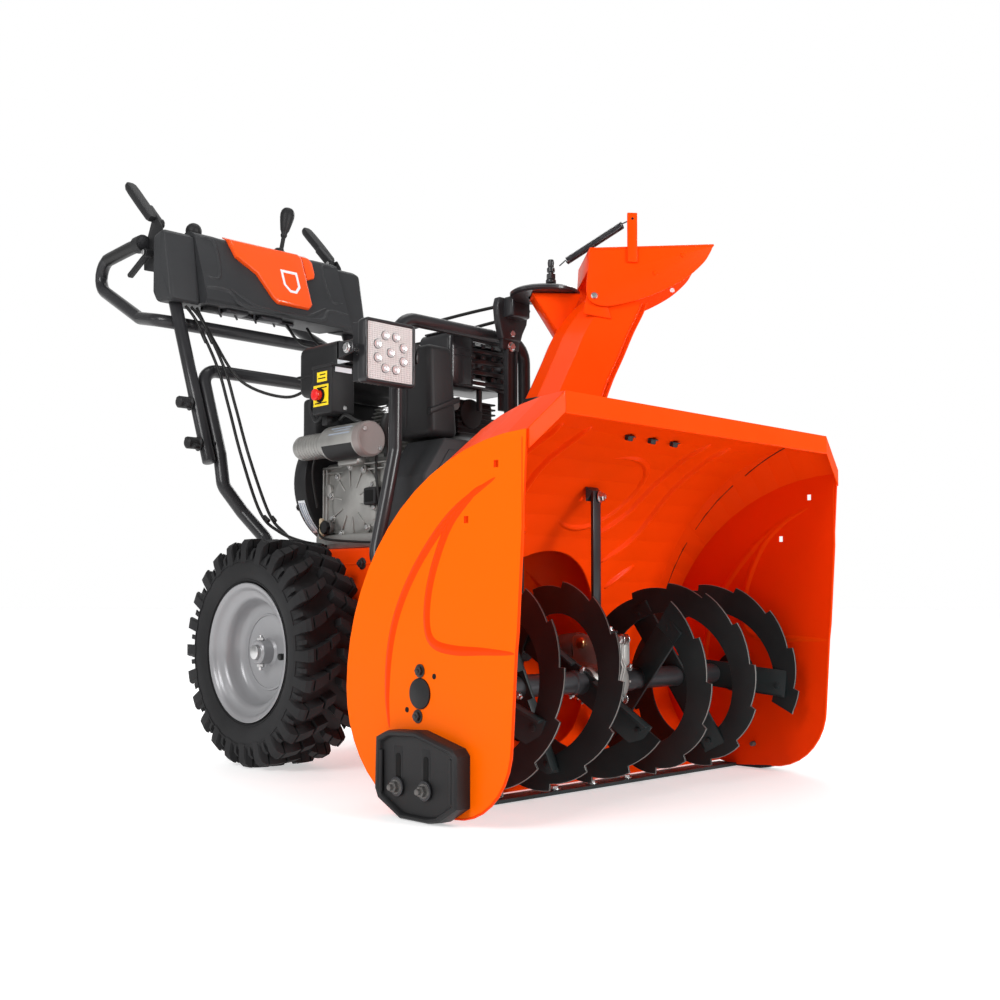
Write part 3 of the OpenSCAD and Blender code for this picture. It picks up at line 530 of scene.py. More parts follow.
SLOT_OF = {}
for names, mat in (
        ("auger_housing impeller_drum chassis_box chute_tube deflector", ORANGE),
        # the side plates take the orange with painted light and shade
        ("side_plate_right side_plate_left", ORANGE_SIDE_LIT_AND_SHADED),
        ("console_cover", ORANGE_GLOSS),
        ("chute_collar gearbox_brace guard_hoop lower_handle handle_tube chute_post belt_cover "
         "muffler_guard impeller_fan lever_right lever_left", BLACK_PAINT),
        ("auger_flight_right auger_flight_left scraper_bar", AUGER_BLACK),
        ("crankshaft impeller_shaft axle_right axle_left muffler deflector_spring", ZINC),
        ("shaft_bearings auger_shaft housing_bolts", DARK_STEEL),
        ("auger_gearbox engine_block starter_motor", CAST),
        ("worm_wheel", BRONZE),
        ("console_body console_caps shoe_right shoe_left", GREY_PLASTIC),
        ("tyre_right tyre_left", RUBBER), ("rim_right rim_left", RIM_PAINT),
        ("start_button", RED), ("lamp_lens", LENS_GREY)):
    for name in names.split():
        SLOT_OF[name] = mat
for name in frame["nodes"]:
    paint(name, SLOT_OF.get(name, PLASTIC))


# ---------------------------------------------------------------- housing

LIP_Y = -752
PLATE_Y = -742
LIP_X = 295
SIDE_X = 350
AUGER = Vector((0, -552, 158))
FAN_Z = 203


def wrap_at(angle, inset=3.0, rise=1.0):
    """A point (y, z) on the back sheet, at an angle up from straight back."""
    a = math.radians(angle)
    y = PLATE_Y + rise * (LIP_Y - PLATE_Y) + (345 + 10 * rise - inset) * math.cos(a)
    return y, 157 + (322 + 50 * rise - inset) * math.sin(a)


def bead(piece, path, width, high, normal, steps=6, taper=5):
    """A pressed bead: a bell-shaped ridge that dies away at both ends."""
    path = spline(path, steps)
    count = len(path)
    rings = []
    for i, p in enumerate(path):
        t = unit(path[min(i + 1, count - 1)] - path[max(i - 1, 0)])
        up = unit(normal(p)) if callable(normal) else unit(normal)
        side = unit(t.cross(up))
        k = min(1.0, (min(i, count - 1 - i) + 0.15) / taper)
        k = math.sin(k * math.pi / 2)
        rings.append([p + side * (width * (0.4 + 0.6 * k) * u)
                      + up * (high * k * (0.5 + 0.5 * math.cos(math.pi * u)) - 0.25 * abs(u))
                      for u in (-1, -0.8, -0.6, -0.4, -0.2, 0, 0.2, 0.4, 0.6, 0.8, 1)])
    piece.loft(rings, sharp=80)


def wrap_normal(p):
    return Vector((0, -(p.y - LIP_Y) / 352 ** 2, -(p.z - 157) / 369 ** 2))


def on_wrap(pairs):
    return [(x, *wrap_at(a)) for x, a in pairs]


OUTER_LINE = [(-690, 425), (-632, 398), (-587, 365), (-540, 315), (-507, 263), (-490, 211), (-485, 153), (-490, 110)]
INNER_LINE = [(-668, 417), (-646, 405), (-609, 374), (-583, 330), (-567, 284), (-565, 243), (-579, 222), (-617, 215),
              (-668, 215), (-722, 214)]


def housing_details():
    p = Piece("housing_beads", ORANGE)
    for s in (-1, 1):
        bead(p, on_wrap([(s * 135, 74), (s * 132, 67), (s * 134, 58.6), (s * 131, 51.5), (s * 124, 45.1),
                         (s * 105, 40.6), (s * 76, 36.7)]), 8, 6, wrap_normal)
        bead(p, on_wrap([(s * 189, 73.6), (s * 185, 68), (s * 187, 61.8), (s * 186, 54.6), (s * 186, 48.3),
                         (s * 184, 41.7), (s * 169, 35.8), (s * 122, 29.2)]), 8, 6, wrap_normal)
        bead(p, on_wrap([(s * 209, 28.8), (s * 180, 25.6), (s * 152, 22.1)]), 8, 6, wrap_normal)
        for x, way in ((SIDE_X, 1), (347, -1)):
            for line in (OUTER_LINE, INNER_LINE):
                bead(p, [(s * x, y, z) for y, z in line], 8, 2.2, (s * way, 0, 0), 5, 12)
    ring = [(23 + 82 * math.cos(a), 51 + 12.2 * math.sin(a)) for a in [TAU * k / 40 for k in range(26, 54)]]
    bead(p, on_wrap([(x, a) for x, a in ring]), 8, 4, wrap_normal, 1)
    for s in (-1, 1):
        a = (s * LIP_X, LIP_Y - 3, 529.0)
        b = (s * 347, PLATE_Y - 2.5, 481.0)
        c = (s * 347, PLATE_Y - 2.5, 456.0)
        d = (s * LIP_X, LIP_Y - 3, 503.0)
        p.add([a, b, c, d] + [(x, y + 2.2, z) for x, y, z in (a, b, c, d)],
              [(0, 1, 2, 3), (7, 6, 5, 4), (0, 4, 5, 1), (1, 5, 6, 2), (2, 6, 7, 3), (3, 7, 4, 0)], 0.5, 1)
        # rolled front edge of the side plate
        edge = [(s * 348.5, y, z) for y, z in ((-735, 470), (-735, 363), (-727, 240), (-724, 215))]
        edge += [(s * 348.5, -617 + 100 * math.cos(math.radians(t)), 108 + 100 * math.sin(math.radians(t)))
                 for t in range(180, 271, 10)]
        p.tube(edge, 1.9, 8)
    p.box((-LIP_X, LIP_Y - 3.3, 501.5), (LIP_X, LIP_Y + 4, 503.5), 0.6)
    p.done("machine")
    q = Piece("housing_seams", HOLE_SHADE_SEAM_PRINT_BLACK)
    for s in (-1, 1):
        for pair in (((294, 80.5), (306, 64.3)), ((307, 59.8), (312, 42.9)), ((312, 38.3), (314, 23.0))):
            (x0, a0), (x1, a1) = pair
            path = []
            for k in range(9):
                x, a = x0 + (x1 - x0) * k / 8, a0 + (a1 - a0) * k / 8
                rise = 1 - (x - LIP_X) / 52 if x > LIP_X else 1
                path.append((s * x, *wrap_at(a, 3.2, rise)))
            q.tube(path, 0.9, 6)
    # bolts that hold the brace under the top sheet
    for x in (-45, 6, 57):
        y, z = wrap_at(72.5)
        q.use(BLACK_PAINT)
        q.bolt((x, y, z - 0.5), (0, 0.3, -1), 6.5, 6)
        q.cyl((x, y, z + 3), (x, y, z + 16), 3.6, 14, 0.6)
        q.bolt((x, y, z + 3.5), (0, 0.3, 1), 6.5, 5)
    q.done("machine")
    r = Piece("bearing_covers", PLASTIC)
    for s in (-1, 1):
        r.lathe([(0, s * 349.5), (19.5, s * 349.5), (19.5, s * 352), (18.3, s * 352.8), (0, s * 353.2)],
                (0, AUGER.y, AUGER.z), "x", 40, closed=False)
        r.use(BLACK_PAINT)
        for y, z in ((-552, 187), (-548, 129)):
            r.bolt((s * 350.3, y, z), (s, 0, 0), 6.5, 4)
            r.cyl((s * 350, y, z), (s * 356.5, y, z), 3, 12, 0.4)
        # black discs where the covers have holes: painted shade
        r.use(HOLE_SHADE_SEAM_PRINT_BLACK)
        for y, z in ((-579, 181), (-526, 136)):
            r.cyl((s * 349.8, y, z), (s * 350.4, y, z), 3.6, 16)
        r.use(PLASTIC)
        r.lathe([(11.5, s * 330), (30, s * 330), (33, s * 337), (33, s * 347), (11.5, s * 347)],
                (0, AUGER.y, AUGER.z), "x", 40)
    r.done("machine", ["shaft_bearings"])
    t = Piece("shaft_bearing_rings", DARK_STEEL)
    for s in (-1, 1):
        t.lathe([(12.2, s * 100), (17.8, s * 100), (17.8, s * 111), (27, s * 111.4), (27, s * 114.6),
                 (12.2, s * 115)],
                WHEEL_AT, "x", 36)
    t.done("machine", ["shaft_bearings"])
    g = Piece("brace", BLACK_PAINT)
    g.box((-8.4, -545.6, 230), (8.4, -540, 440), 0.8)
    g.add([(-8.4, -545.6, 438), (9, -545.6, 438), (14, -534.8, 446), (-14, -534.8, 446), (-8.4, -540, 434),
           (9, -540, 434),
           (14, -534.8, 424), (-14, -534.8, 424)],
          [(0, 1, 2, 3), (7, 6, 5, 4), (0, 4, 5, 1), (1, 5, 6, 2), (2, 6, 7, 3), (3, 7, 4, 0)], 0.8)
    g.box((-16, -572, 228.4), (16, -540, 232), 1)
    g.use(ZINC)
    g.bolt((6, -546, 431), (0.3, -1, 0), 7, 6)
    g.cyl((6, -546, 431), (8, -556, 431), 3.4, 12, 0.5)
    for x in (-9, 9):
        g.bolt((x, -560, 232), (0, 0, 1), 6, 5)
    g.done("machine", ["gearbox_brace"])


def gearbox_details():
    p = Piece("gearbox_case", CAST)
    outline = []
    lobes = [(-44, 62), (0, 70), (44, 62), (42, 20), (40, -24), (0, -47), (-40, -24), (-42, 20)]
    for k in range(120):
        a = TAU * k / 120
        base = 40.0
        y, z = base * math.cos(a), base * math.sin(a)
        if math.sin(a) > 0.1:
            y, z = 40 * math.copysign(min(1, abs(math.cos(a)) * 1.5), math.cos(a)), 16 + 50 * math.sin(a)
        out = Vector((y, z))
        for ly, lz in lobes:
            d = math.hypot(y - ly, z - lz)
            if d < 16:
                out += Vector((math.cos(a), math.sin(a))) * (16 - d) * 0.42
        outline.append((AUGER.y + out.x, AUGER.z + out.y))
    for x0, x1 in ((0.3, 5.2), (-5.2, -0.3)):
        p.prism(outline, "x", x0, x1, 1.2, 3, 60)
    for s in (-1, 1):
        p.lathe([(0, s * 4), (40, s * 4), (40, s * 14), (36, s * 21), (22, s * 25), (20, s * 36), (12, s * 36),
                 (12, s * 26),
                 (0, s * 26)], (0, AUGER.y, AUGER.z), "x", 48, closed=False)
        p.add(*hull_box((s * 4, AUGER.y - 38, 180), (s * 24, AUGER.y + 38, 226)), bevel=6, seg=3)
        for ang in range(0, 360, 60):
            c, w = math.cos(math.radians(ang)), math.sin(math.radians(ang))
            p.box((-1.5, -1.5, -1.5), (1.5, 18, 1.5), 0.5,
                  at=Matrix.Translation((s * 21, AUGER.y + c * 21,
                                        AUGER.z + w * 21)) @ Matrix.Rotation(math.radians(ang), 4, "X"))
    p.use(CAST_DARK)
    p.lathe([(10.4, -515), (24, -515), (26, -505), (24, -488), (21, -470), (19, -462), (10.4, -462)],
            (0, 0, FAN_Z), "y", 36)
    p.use(ZINC)
    for y, z in ((-43, 62), (43, 62), (-39, -24), (39, -24), (0, -46), (0, 66)):
        p.bolt((-5.2, AUGER.y + y, AUGER.z + z), (-1, 0, 0), 6, 5)
        p.bolt((5.2, AUGER.y + y, AUGER.z + z), (1, 0, 0), 6, 4)
    p.use(COPPER)
    p.cyl((-30, AUGER.y + 16, 214), (-22, AUGER.y + 16, 214), 8, 24, 1.5)
    p.bolt((-24, AUGER.y - 22, 178), (-1, 0, 0), 6, 4, False)
    p.done("machine", ["auger_gearbox"])


def hull_box(lo, hi):
    (x0, y0, z0), (x1, y1, z1) = lo, hi
    verts = [(x, y, z) for x in (x0, x1) for y in (y0, y1) for z in (z0, z1)]
    faces = [(0, 1, 3, 2), (4, 6, 7, 5), (0, 4, 5, 1), (2, 3, 7, 6), (0, 2, 6, 4), (1, 5, 7, 3)]
    return verts, faces


def shoe(s):
    """Skid shoe: a moulded tray with a raised rim and two slots, held by flange nuts."""
    name = "right" if s < 0 else "left"
    outline = [(-488, 101), (-509, 110), (-567, 113), (-638, 96), (-646, 88), (-646, 24), (-612, 4), (-592, 0.4),
               (-537, 0.4), (-492, 22), (-486, 34)]
    mid = Vector((-567, 56))
    steps = [(0.4, 1.0), (16, 1.0), (21, 0.985), (23.4, 0.95), (23.4, 0.9), (21.5, 0.875), (17, 0.86), (16.5, 0.5)]
    p = Piece("skid_shoe_" + name, PLASTIC)
    rings = []
    for x, k in steps:
        rings.append([(s * (SIDE_X + x), mid.x + (y - mid.x) * k, max(0.4, mid.y + (z - mid.y) * k)) for y,
                      z in outline])
    p.loft(rings, sharp=30)
    p.use(PLASTIC)
    for y in (-642, -490):
        bar = [(s * (SIDE_X + 20), y + (8 if y < -600 else -8), z) for z in (30, 60, 84)]
        p.tube(bar, 3, 10)
    for y in (-529, -583):
        p.box((s * 366 - 0.8, y - 9, 30), (s * 366 + 0.8, y + 9, 92), 0.8)
        # black slot shapes on the shoe face: painted shade in place of the open slots
        p.use(HOLE_SHADE_SEAM_PRINT_BLACK)
        path = [(y - 4.4, 38), (y - 4.4, 78)] + [(y + 4.4 * math.cos(t), 78 + 4.4 * math.sin(t)) for t in
                                                  [math.pi * (1 - k / 8) for k in range(9)]]
        path += [(y + 4.4 * math.cos(t), 38 - 4.4 * math.sin(t)) for t in [math.pi * k / 8 for k in range(9)]]
        p.prism(path, "x", *sorted((s * 366.4, s * 367.4)))
        p.use(PLASTIC)
    p.done("shoe_" + name, ["shoe_" + name])
    q = Piece("shoe_nuts_" + name, CAST_DARK)
    for y in (-529, -583):
        q.use(DARK_STEEL)
        q.cyl((s * 367.4, y, 40), (s * 370.5, y, 40), 12.5, 28, 0.6)
        q.use(CAST_DARK)
        q.lathe([(3, s * 370.3), (10, s * 370.3), (9, s * 372), (3, s * 372)], (0, y, 40), "x", 24)
        q.bolt((s * 371.2, y, 40), (s, 0, 0), 7.4, 7, False)
        q.cyl((s * 340, y, 40), (s * 383, y, 40), 4, 16, 0.8)
    q.done("machine", ["housing_bolts"])


housing_details()
gearbox_details()
for side in (-1, 1):
    shoe(side)


# ---------------------------------------------------------------- augers

def flight(name, front_x, x0, spokes, mirror):
    lead, x1, r_in, r_out = 114.0, 309.0, 100.0, 146.0
    at = Matrix.Scale(-1, 4, (1, 0, 0)) if mirror else Matrix.Identity(4)
    p = Piece(name, AUGER_BLACK, at)
    tooth = 27.0
    angles = []
    a0 = 90 + 360 * (x0 - front_x) / lead
    a1 = 90 + 360 * (x1 - front_x) / lead
    for k in range(int((a1 - a0) / tooth) + 1):
        for part in (0, 0.17, 0.34, 0.51, 0.68, 0.83, 0.965):
            if a0 + tooth * (k + part) < a1 - 0.5:
                angles.append((a0 + tooth * (k + part), part))
    angles.append((a1, 0.5))
    rings = []
    for a, k in angles:
        x = front_x + (a - 90) / 360 * lead
        tip = r_out - 9.5 * k ** 1.3
        c, s = math.cos(math.radians(a)), math.sin(math.radians(a))
        ring = [(-1.5, r_in + 0.6), (-1.5, tip - 0.7), (-0.8, tip), (0.8, tip), (1.5, tip - 0.7), (1.5, r_in + 0.6),
                (0.8, r_in), (-0.8, r_in)]
        rings.append([(x + 1.5 + q, AUGER.y - r * s, AUGER.z + r * c) for q, r in ring])
    p.loft(rings, sharp=25)
    p.bm.faces.ensure_lookup_table()
    # the small faces along the tooth tips take the lighter grey as painted highlight
    p.use(TOOTH_TIP_HIGHLIGHT)
    for f in p.bm.faces:
        r = [math.hypot(v.co.y - AUGER.y, v.co.z - AUGER.z) for v in f.verts]
        on_edge = max(r) > r_in + 10 and f.calc_area() < 12 and min(r) > r_out - 14
        if on_edge:
            f.material_index = p.index
    p.use(AUGER_BLACK)
    # flat spokes through the sleeve, with one folded edge and a bolt at each end
    lean = math.atan(lead / 4 / 126)
    for x in spokes:
        turn = math.radians(90 + 360 * (x - front_x) / lead)
        spin = (Matrix.Translation((x + lead / 4, AUGER.y, AUGER.z)) @ Matrix.Rotation(turn, 4, "X")
                @ Matrix.Rotation(-lean, 4, "Y"))
        p.box((-2.4, -21, -126), (2.4, 21, 126), 0.8, at=spin)
        p.box((-2.4, 17, -122), (13, 21, -20), 0.8, at=spin)
        p.box((-2.4, 17, 20), (13, 21, 122), 0.8, at=spin)
        for t in (-112, 112):
            p.cyl((-4.6, 4, t), (4.2, 4, t), 5.4, 6, 0.6, at=spin)
    p.use(DARK_STEEL)
    p.lathe([(11.6, 38), (17, 38), (18, 39), (18, 66), (16, 68), (16, 318), (18, 319), (18, 329), (11.6, 329)],
            tuple(AUGER), "x", 40)
    for x, a in ((53, 30), (53, 210), (190, 120), (190, 300)):
        spin = Matrix.Translation((x, AUGER.y, AUGER.z)) @ Matrix.Rotation(math.radians(a), 4, "X")
        p.use(ZINC)
        ring = [[(4.8 * math.cos(TAU * k / 6), 4.8 * math.sin(TAU * k / 6), z) for k in range(6)] for z in (15, 23)]
        p.loft(ring, sharp=20, at=spin)
        p.cyl((0, 0, 14), (0, 0, 27), 2.6, 12, 0.5, at=spin)
    return p


flight("auger_right", 120, 16.0, (18, 144, 242), True).done("auger", ["auger_flight_right"])
flight("auger_left", 73, 56.0, (59, 150, 246), False).done("auger", ["auger_flight_left"])


# ---------------------------------------------------------------- wheels

def wheel(s):
    name = "right" if s < 0 else "left"
    mid = s * 201.5
    p = Piece("wheel_tyre_" + name, RUBBER)
    half = [(109.5, 45), (113, 49), (118, 54), (124, 58), (134, 61), (146, 62.6), (154, 61.6), (161, 58), (166, 52),
            (169, 44), (170.5, 34), (171, 17), (171.2, 0)]
    profile = [(r, mid + t) for r, t in half] + [(r, mid - t) for r, t in reversed(half[:-1])]
    p.lathe(profile, WHEEL_AT, "x", 96, sharp=50)
    for r in (121, 152):
        for t in (-1, 1):
            p.lathe([(r - 1.2, mid + t * 55.5), (r - 0.8, mid + t * (57.3 if r < 130 else 63.2)),
                     (r + 0.8, mid + t * (57.9 if r < 130 else 63.2)), (r + 1.4, mid + t * 55.5)], (0, 0,
                                        190), "x", 96)
    count = 24
    for k in range(count):
        for t in (-1, 1):
            base = 360 / count * (k + (0.5 if t > 0 else 0))

            def ring(x, lo, hi, a_mid, width):
                out = []
                for da, r in ((-1, lo), (-0.86, hi), (0.86, hi), (1, lo)):
                    a = math.radians(base + 0.9 * (a_mid + da * width / 2))
                    out.append((mid + t * x, r * math.sin(a), 190 + r * math.cos(a)))
                return out
            # shoulder block that runs down the sidewall, split by a groove
            p.loft([ring(63.3, 149, 158, -0.3, 5.4), ring(63.2, 150, 172, -0.2, 6.6), ring(60.5, 152, 182, 0, 7.6),
                    ring(54, 158, 188.4, 0.4, 8.0), ring(50, 162, 188.9, 0.8, 8.0)], sharp=20)
            p.loft([ring(47, 160, 188.9, 1.2, 7.6), ring(38, 160, 189.6, 2.4, 7.0), ring(27, 160, 189.9, 4.6, 6.6),
                    ring(24, 160, 189.6, 5.2, 6.2)], sharp=20)
            p.loft([ring(20, 160, 189.6, 6.4, 6.6), ring(8, 160, 189.9, 9.0, 5.6), ring(3, 160, 189.2, 10.2, 4.4)],
                   sharp=20)
            p.loft([ring(61.8, 150, 160, 7.8, 3.0), ring(61, 151, 167, 7.8, 3.2), ring(56, 156, 174, 8.0, 3.0)],
                   sharp=20)
    p.done("wheel_" + name, ["tyre_" + name])
    q = Piece("wheel_rim_" + name, RIM_PAINT)
    o = s * 265
    lip = [(12.4, 28), (18, 28), (20, 30), (20, 49), (24, 52), (70, 52), (78, 50), (83, 45), (86, 34), (88, 26),
           (91, 21.5),
           (95, 19.5), (101, 17.5), (105, 13), (107, 9.5), (110, 7.4), (114, 6.2), (115.6, 7.2), (114,
                                        9.2), (110.5, 11),
           (108.8, 14), (108.6, 116), (115, 119), (115, 122), (105.6, 118), (105.6, 24), (92, 24), (88, 56), (20, 56),
           (20, 88), (12.4, 88)]
    q.lathe([(r, o - s * t) for r, t in lip], WHEEL_AT, "x", 96, sharp=32)
    q.lathe([(60, o - s * 52.6), (61, o - s * 50.4), (64, o - s * 50.4), (65, o - s * 52.6)], WHEEL_AT, "x", 72)
    q.use(HOSE)
    q.cyl((o - s * 53, -60, 184), (o - s * 38, -60, 184), 6.4, 20, 1.0, r1=5.4)
    q.cyl((o - s * 38, -60, 184), (o - s * 32, -60, 184), 5.6, 16, 0.8)
    q.done("wheel_" + name, ["rim_" + name])
    r = Piece("wheel_pin_" + name, ZINC)
    px = s * 229
    r.cyl((o - s * 22, 0, 190), (s * 6, 0, 190), 11.9, 32, 1.2)
    r.cyl((px, 0, 160), (px, 0, 218), 3.3, 16, 0.5)
    r.bolt((px, 0, 210), (0, 0, 1), 6.2, 5, False)
    r.bolt((px, 0, 170), (0, 0, -1), 6.2, 5, False)
    r.done("wheel_" + name, ["axle_" + name])


for side in (-1, 1):
    wheel(side)


# ---------------------------------------------------------------- chute

CHUTE = Vector((77, -379, 0))
CHUTE_AT = Matrix.Translation(CHUTE) @ Matrix.Rotation(math.radians(50), 4, "Z")
LEVELS = [(-70, 538, 66, 538, 66), (-56, 575, 72, 575, 64), (-32, 627, 88, 622, 62), (-14, 668, 106, 662, 60),
          (3, 707, 123, 702, 59), (30, 744, 138, 732, 58), (61, 771, 146, 752, 58)]


def chute_ring(level, inset, shape):
    back_d, back_z, front_d, front_z, w = level
    deep = back_d + inset - front_d
    slope = (back_z - front_z) / (back_d - front_d)
    return [((w - inset) * v, -(front_d + deep * q), front_z + deep * q * slope) for q, v in shape]


def chute_piece():
    levels = [tuple(v) for v in zip(*[spline([(a, 0, 0) for a in col], 4) for col in zip(*LEVELS)])]
    levels = [tuple(c.x for c in row) for row in levels]
    shape = [(0.0, -1), (0.45, -1)]
    shape += [(0.62, -0.985), (0.86, -0.78), (0.875, -0.765), (1.0, -0.40), (1.0, 0.40), (0.875, 0.765), (0.86, 0.78),
              (0.62, 0.985), (0.45, 1), (0.0, 1)]
    corner = []
    for i, (q, v) in enumerate(shape):
        corner.append((q, v))
    rings = [chute_ring(lv, 0, corner) + list(reversed(chute_ring(lv, 2.6, corner))) for lv in levels]
    p = Piece("chute_body", ORANGE, CHUTE_AT)
    n = len(rings[0])
    count = len(rings)
    verts = [q for r in rings for q in r]
    faces = []
    for i in range(count - 1):
        for k in range(n):
            m = (k + 1) % n
            faces.append((i * n + k, i * n + m, (i + 1) * n + m, (i + 1) * n + k))
    half = n // 2
    for base in (0, (count - 1) * n):
        for k in range(half - 1):
            faces.append((base + k, base + k + 1, base + n - 2 - k, base + n - 1 - k))
    p.add(verts, faces, sharp=20)
    # folded lips along the open front edges
    for s in (-1, 1):
        path = [(s * (lv[4] - 1.2), -lv[2] - 1.0, lv[3]) for lv in levels]
        out = []
        for q in path:
            q = Vector(q)
            out.append([q + Vector((0, 1, 0)), q + Vector((s * 7.5, 1, -0.3)), q + Vector((s * 8.2, -0.3, 0)),
                        q + Vector((s * 7.5, -1.4, 0.3)), q + Vector((0, -1.4, 0))])
        p.loft(out, sharp=30)
        rim = [Vector(q) + Vector((s * 1.4, 7, 1)) for q in path]
        p.tube(rim, 1.5, 8)
    p.lathe([(72, 0), (86, 0), (86, 4), (75, 5), (75, 26), (72, 26)], (0, 0, 520.6), "z", 64)
    for s in (-1, 1):
        p.prism([(-44, 734), (-90, 726), (-76, 770), (-52, 772)], "x", *sorted((s * 58, s * 61)), bevel=1)
    for s in (-1, 1):
        p.prism([(33, 775.4), (-48, 775.4), (-30, 736), (-6, 712)], "x", *sorted((s * 21, s * 23.8)), bevel=0.8)
    p.add([(-23.8, 33, 772.6), (23.8, 33, 772.6), (23.8, -46, 772.6), (-23.8, -46, 772.6),
           (-23.8, 33, 775.4), (23.8, 33, 775.4), (23.8, -46, 775.4), (-23.8, -46, 775.4)],
          [(0, 1, 2, 3), (7, 6, 5, 4), (0, 4, 5, 1), (1, 5, 6, 2), (2, 6, 7, 3), (3, 7, 4, 0)], 0.8)
    p.add([(-23.8, 33, 775), (23.8, 33, 775), (23.8, -6, 712), (-23.8, -6, 712),
           (-23.8, 30, 775), (23.8, 30, 775), (23.8, -8, 714), (-23.8, -8, 714)],
          [(0, 1, 2, 3), (7, 6, 5, 4), (0, 4, 5, 1), (1, 5, 6, 2), (2, 6, 7, 3), (3, 7, 4, 0)], 0.5)
    p.use(PLASTIC)
    # black sleeve over the foot of the tube
    low = [lv for lv in levels if lv[1] < 606]
    skirt = [chute_ring((a - 3 + 0, b, c + 3, d, w + 3), 0, corner) + list(reversed(chute_ring((a - 1, b, c + 1,
                                        d, w + 0.5), 0, corner)))
             for a, b, c, d, w in low]
    verts = [q for r in skirt for q in r]
    faces = []
    for i in range(len(skirt) - 1):
        for k in range(n):
            m = (k + 1) % n
            faces.append((i * n + k, i * n + m, (i + 1) * n + m, (i + 1) * n + k))
    for base in (0, (len(skirt) - 1) * n):
        for k in range(half - 1):
            faces.append((base + k, base + k + 1, base + n - 2 - k, base + n - 1 - k))
    p.add(verts, faces, sharp=25)
    p.use(BLACK_PAINT)
    p.cyl((0, 0, 772), (0, 0, 836), 4.2, 20, 1)
    p.cyl((0, 0, 797), (0, 0, 803), 8.5, 24, 1)
    p.loft([[(8 * math.cos(TAU * k / 6), 8 * math.sin(TAU * k / 6), z) for k in range(6)] for z in (804, 812)],
           sharp=20)
    p.lathe([(0, 836), (4.6, 836), (5.5, 831), (4.8, 824), (6.6, 822), (6.6, 816), (0, 816)], (0, 0, 0), "z",
            20, closed=False)
    p.use(ZINC)
    for s in (-1, 1):
        p.lathe([(0, s * 68.2), (4, s * 67.8), (5.6, s * 66.2), (0, s * 66.2)], (0, -62, 762), "x", 20, closed=False)
        p.cyl((s * 58, -62, 762), (s * 67, -62, 762), 3.3, 16)
    p.done("chute", ["chute_tube"])

    h = Piece("chute_rotor_head", BLACK_PAINT)
    h.lathe([(0, 776.4), (54, 776.4), (57.6, 779), (58, 783), (54, 786), (40, 789.6), (18, 791.5), (14, 794.5),
             (5.6, 794.8),
             (5.6, 776.6)], (77, -365, 0), "z", 72)
    outline = [(-30, 787), (34, 787), (40, 772), (36, 748), (26, 730), (21.5, 716), (-21.5, 716), (-26, 730),
               (-31, 748), (-34, 772)]
    h.prism([(77 + a, b) for a, b in outline], "y", -289, -274.3, 3, 3)
    h.box((56, -312, 752), (98, -287, 787), 4, 3)
    for x, z in ((69, 778), (85, 758)):
        h.cyl((x, -272, z), (x, -288, z), 8.5, 24, 2)
        h.cyl((x, -262, z), (x, -274, z), 5, 18, 1.5)
    h.use(ZINC)
    for x, y in ((48, -392), (110, -380)):
        h.lathe([(0, 788.6), (3.4, 788.3), (4, 787), (0, 787)], (x, y, 0), "z", 16, closed=False)
    h.use(DARK_STEEL)
    h.bolt((98, -300, 768), (1, 0, 0), 6, 5)
    h.done("machine", ["chute_head"])

    c = Piece("chute_ring", PLASTIC)
    c.lathe([(76.2, 505.3), (89, 505.3), (90, 507), (90, 518.4), (88, 520.1), (76.2, 520.1)], (77, -379, 0), "z", 72)
    c.done("machine", ["chute_collar"])
    t = Piece("chute_support", BLACK_PAINT)
    t.box((65, -286, 318), (89, -280, 716), 1.2)
    t.box((65, -290, 330), (68, -284, 700), 0.8)
    t.box((86, -290, 330), (89, -284, 700), 0.8)
    t.box((65, -296.4, 366.6), (89, -280, 372), 1)
    t.box((57.2, -286.2, 700), (96.8, -276.2, 739.8), 2)
    t.use(ZINC)
    for z in (706, 728):
        t.bolt((77, -286.2, z), (0, -1, 0), 6, 4)
    t.done("machine", ["chute_post"])


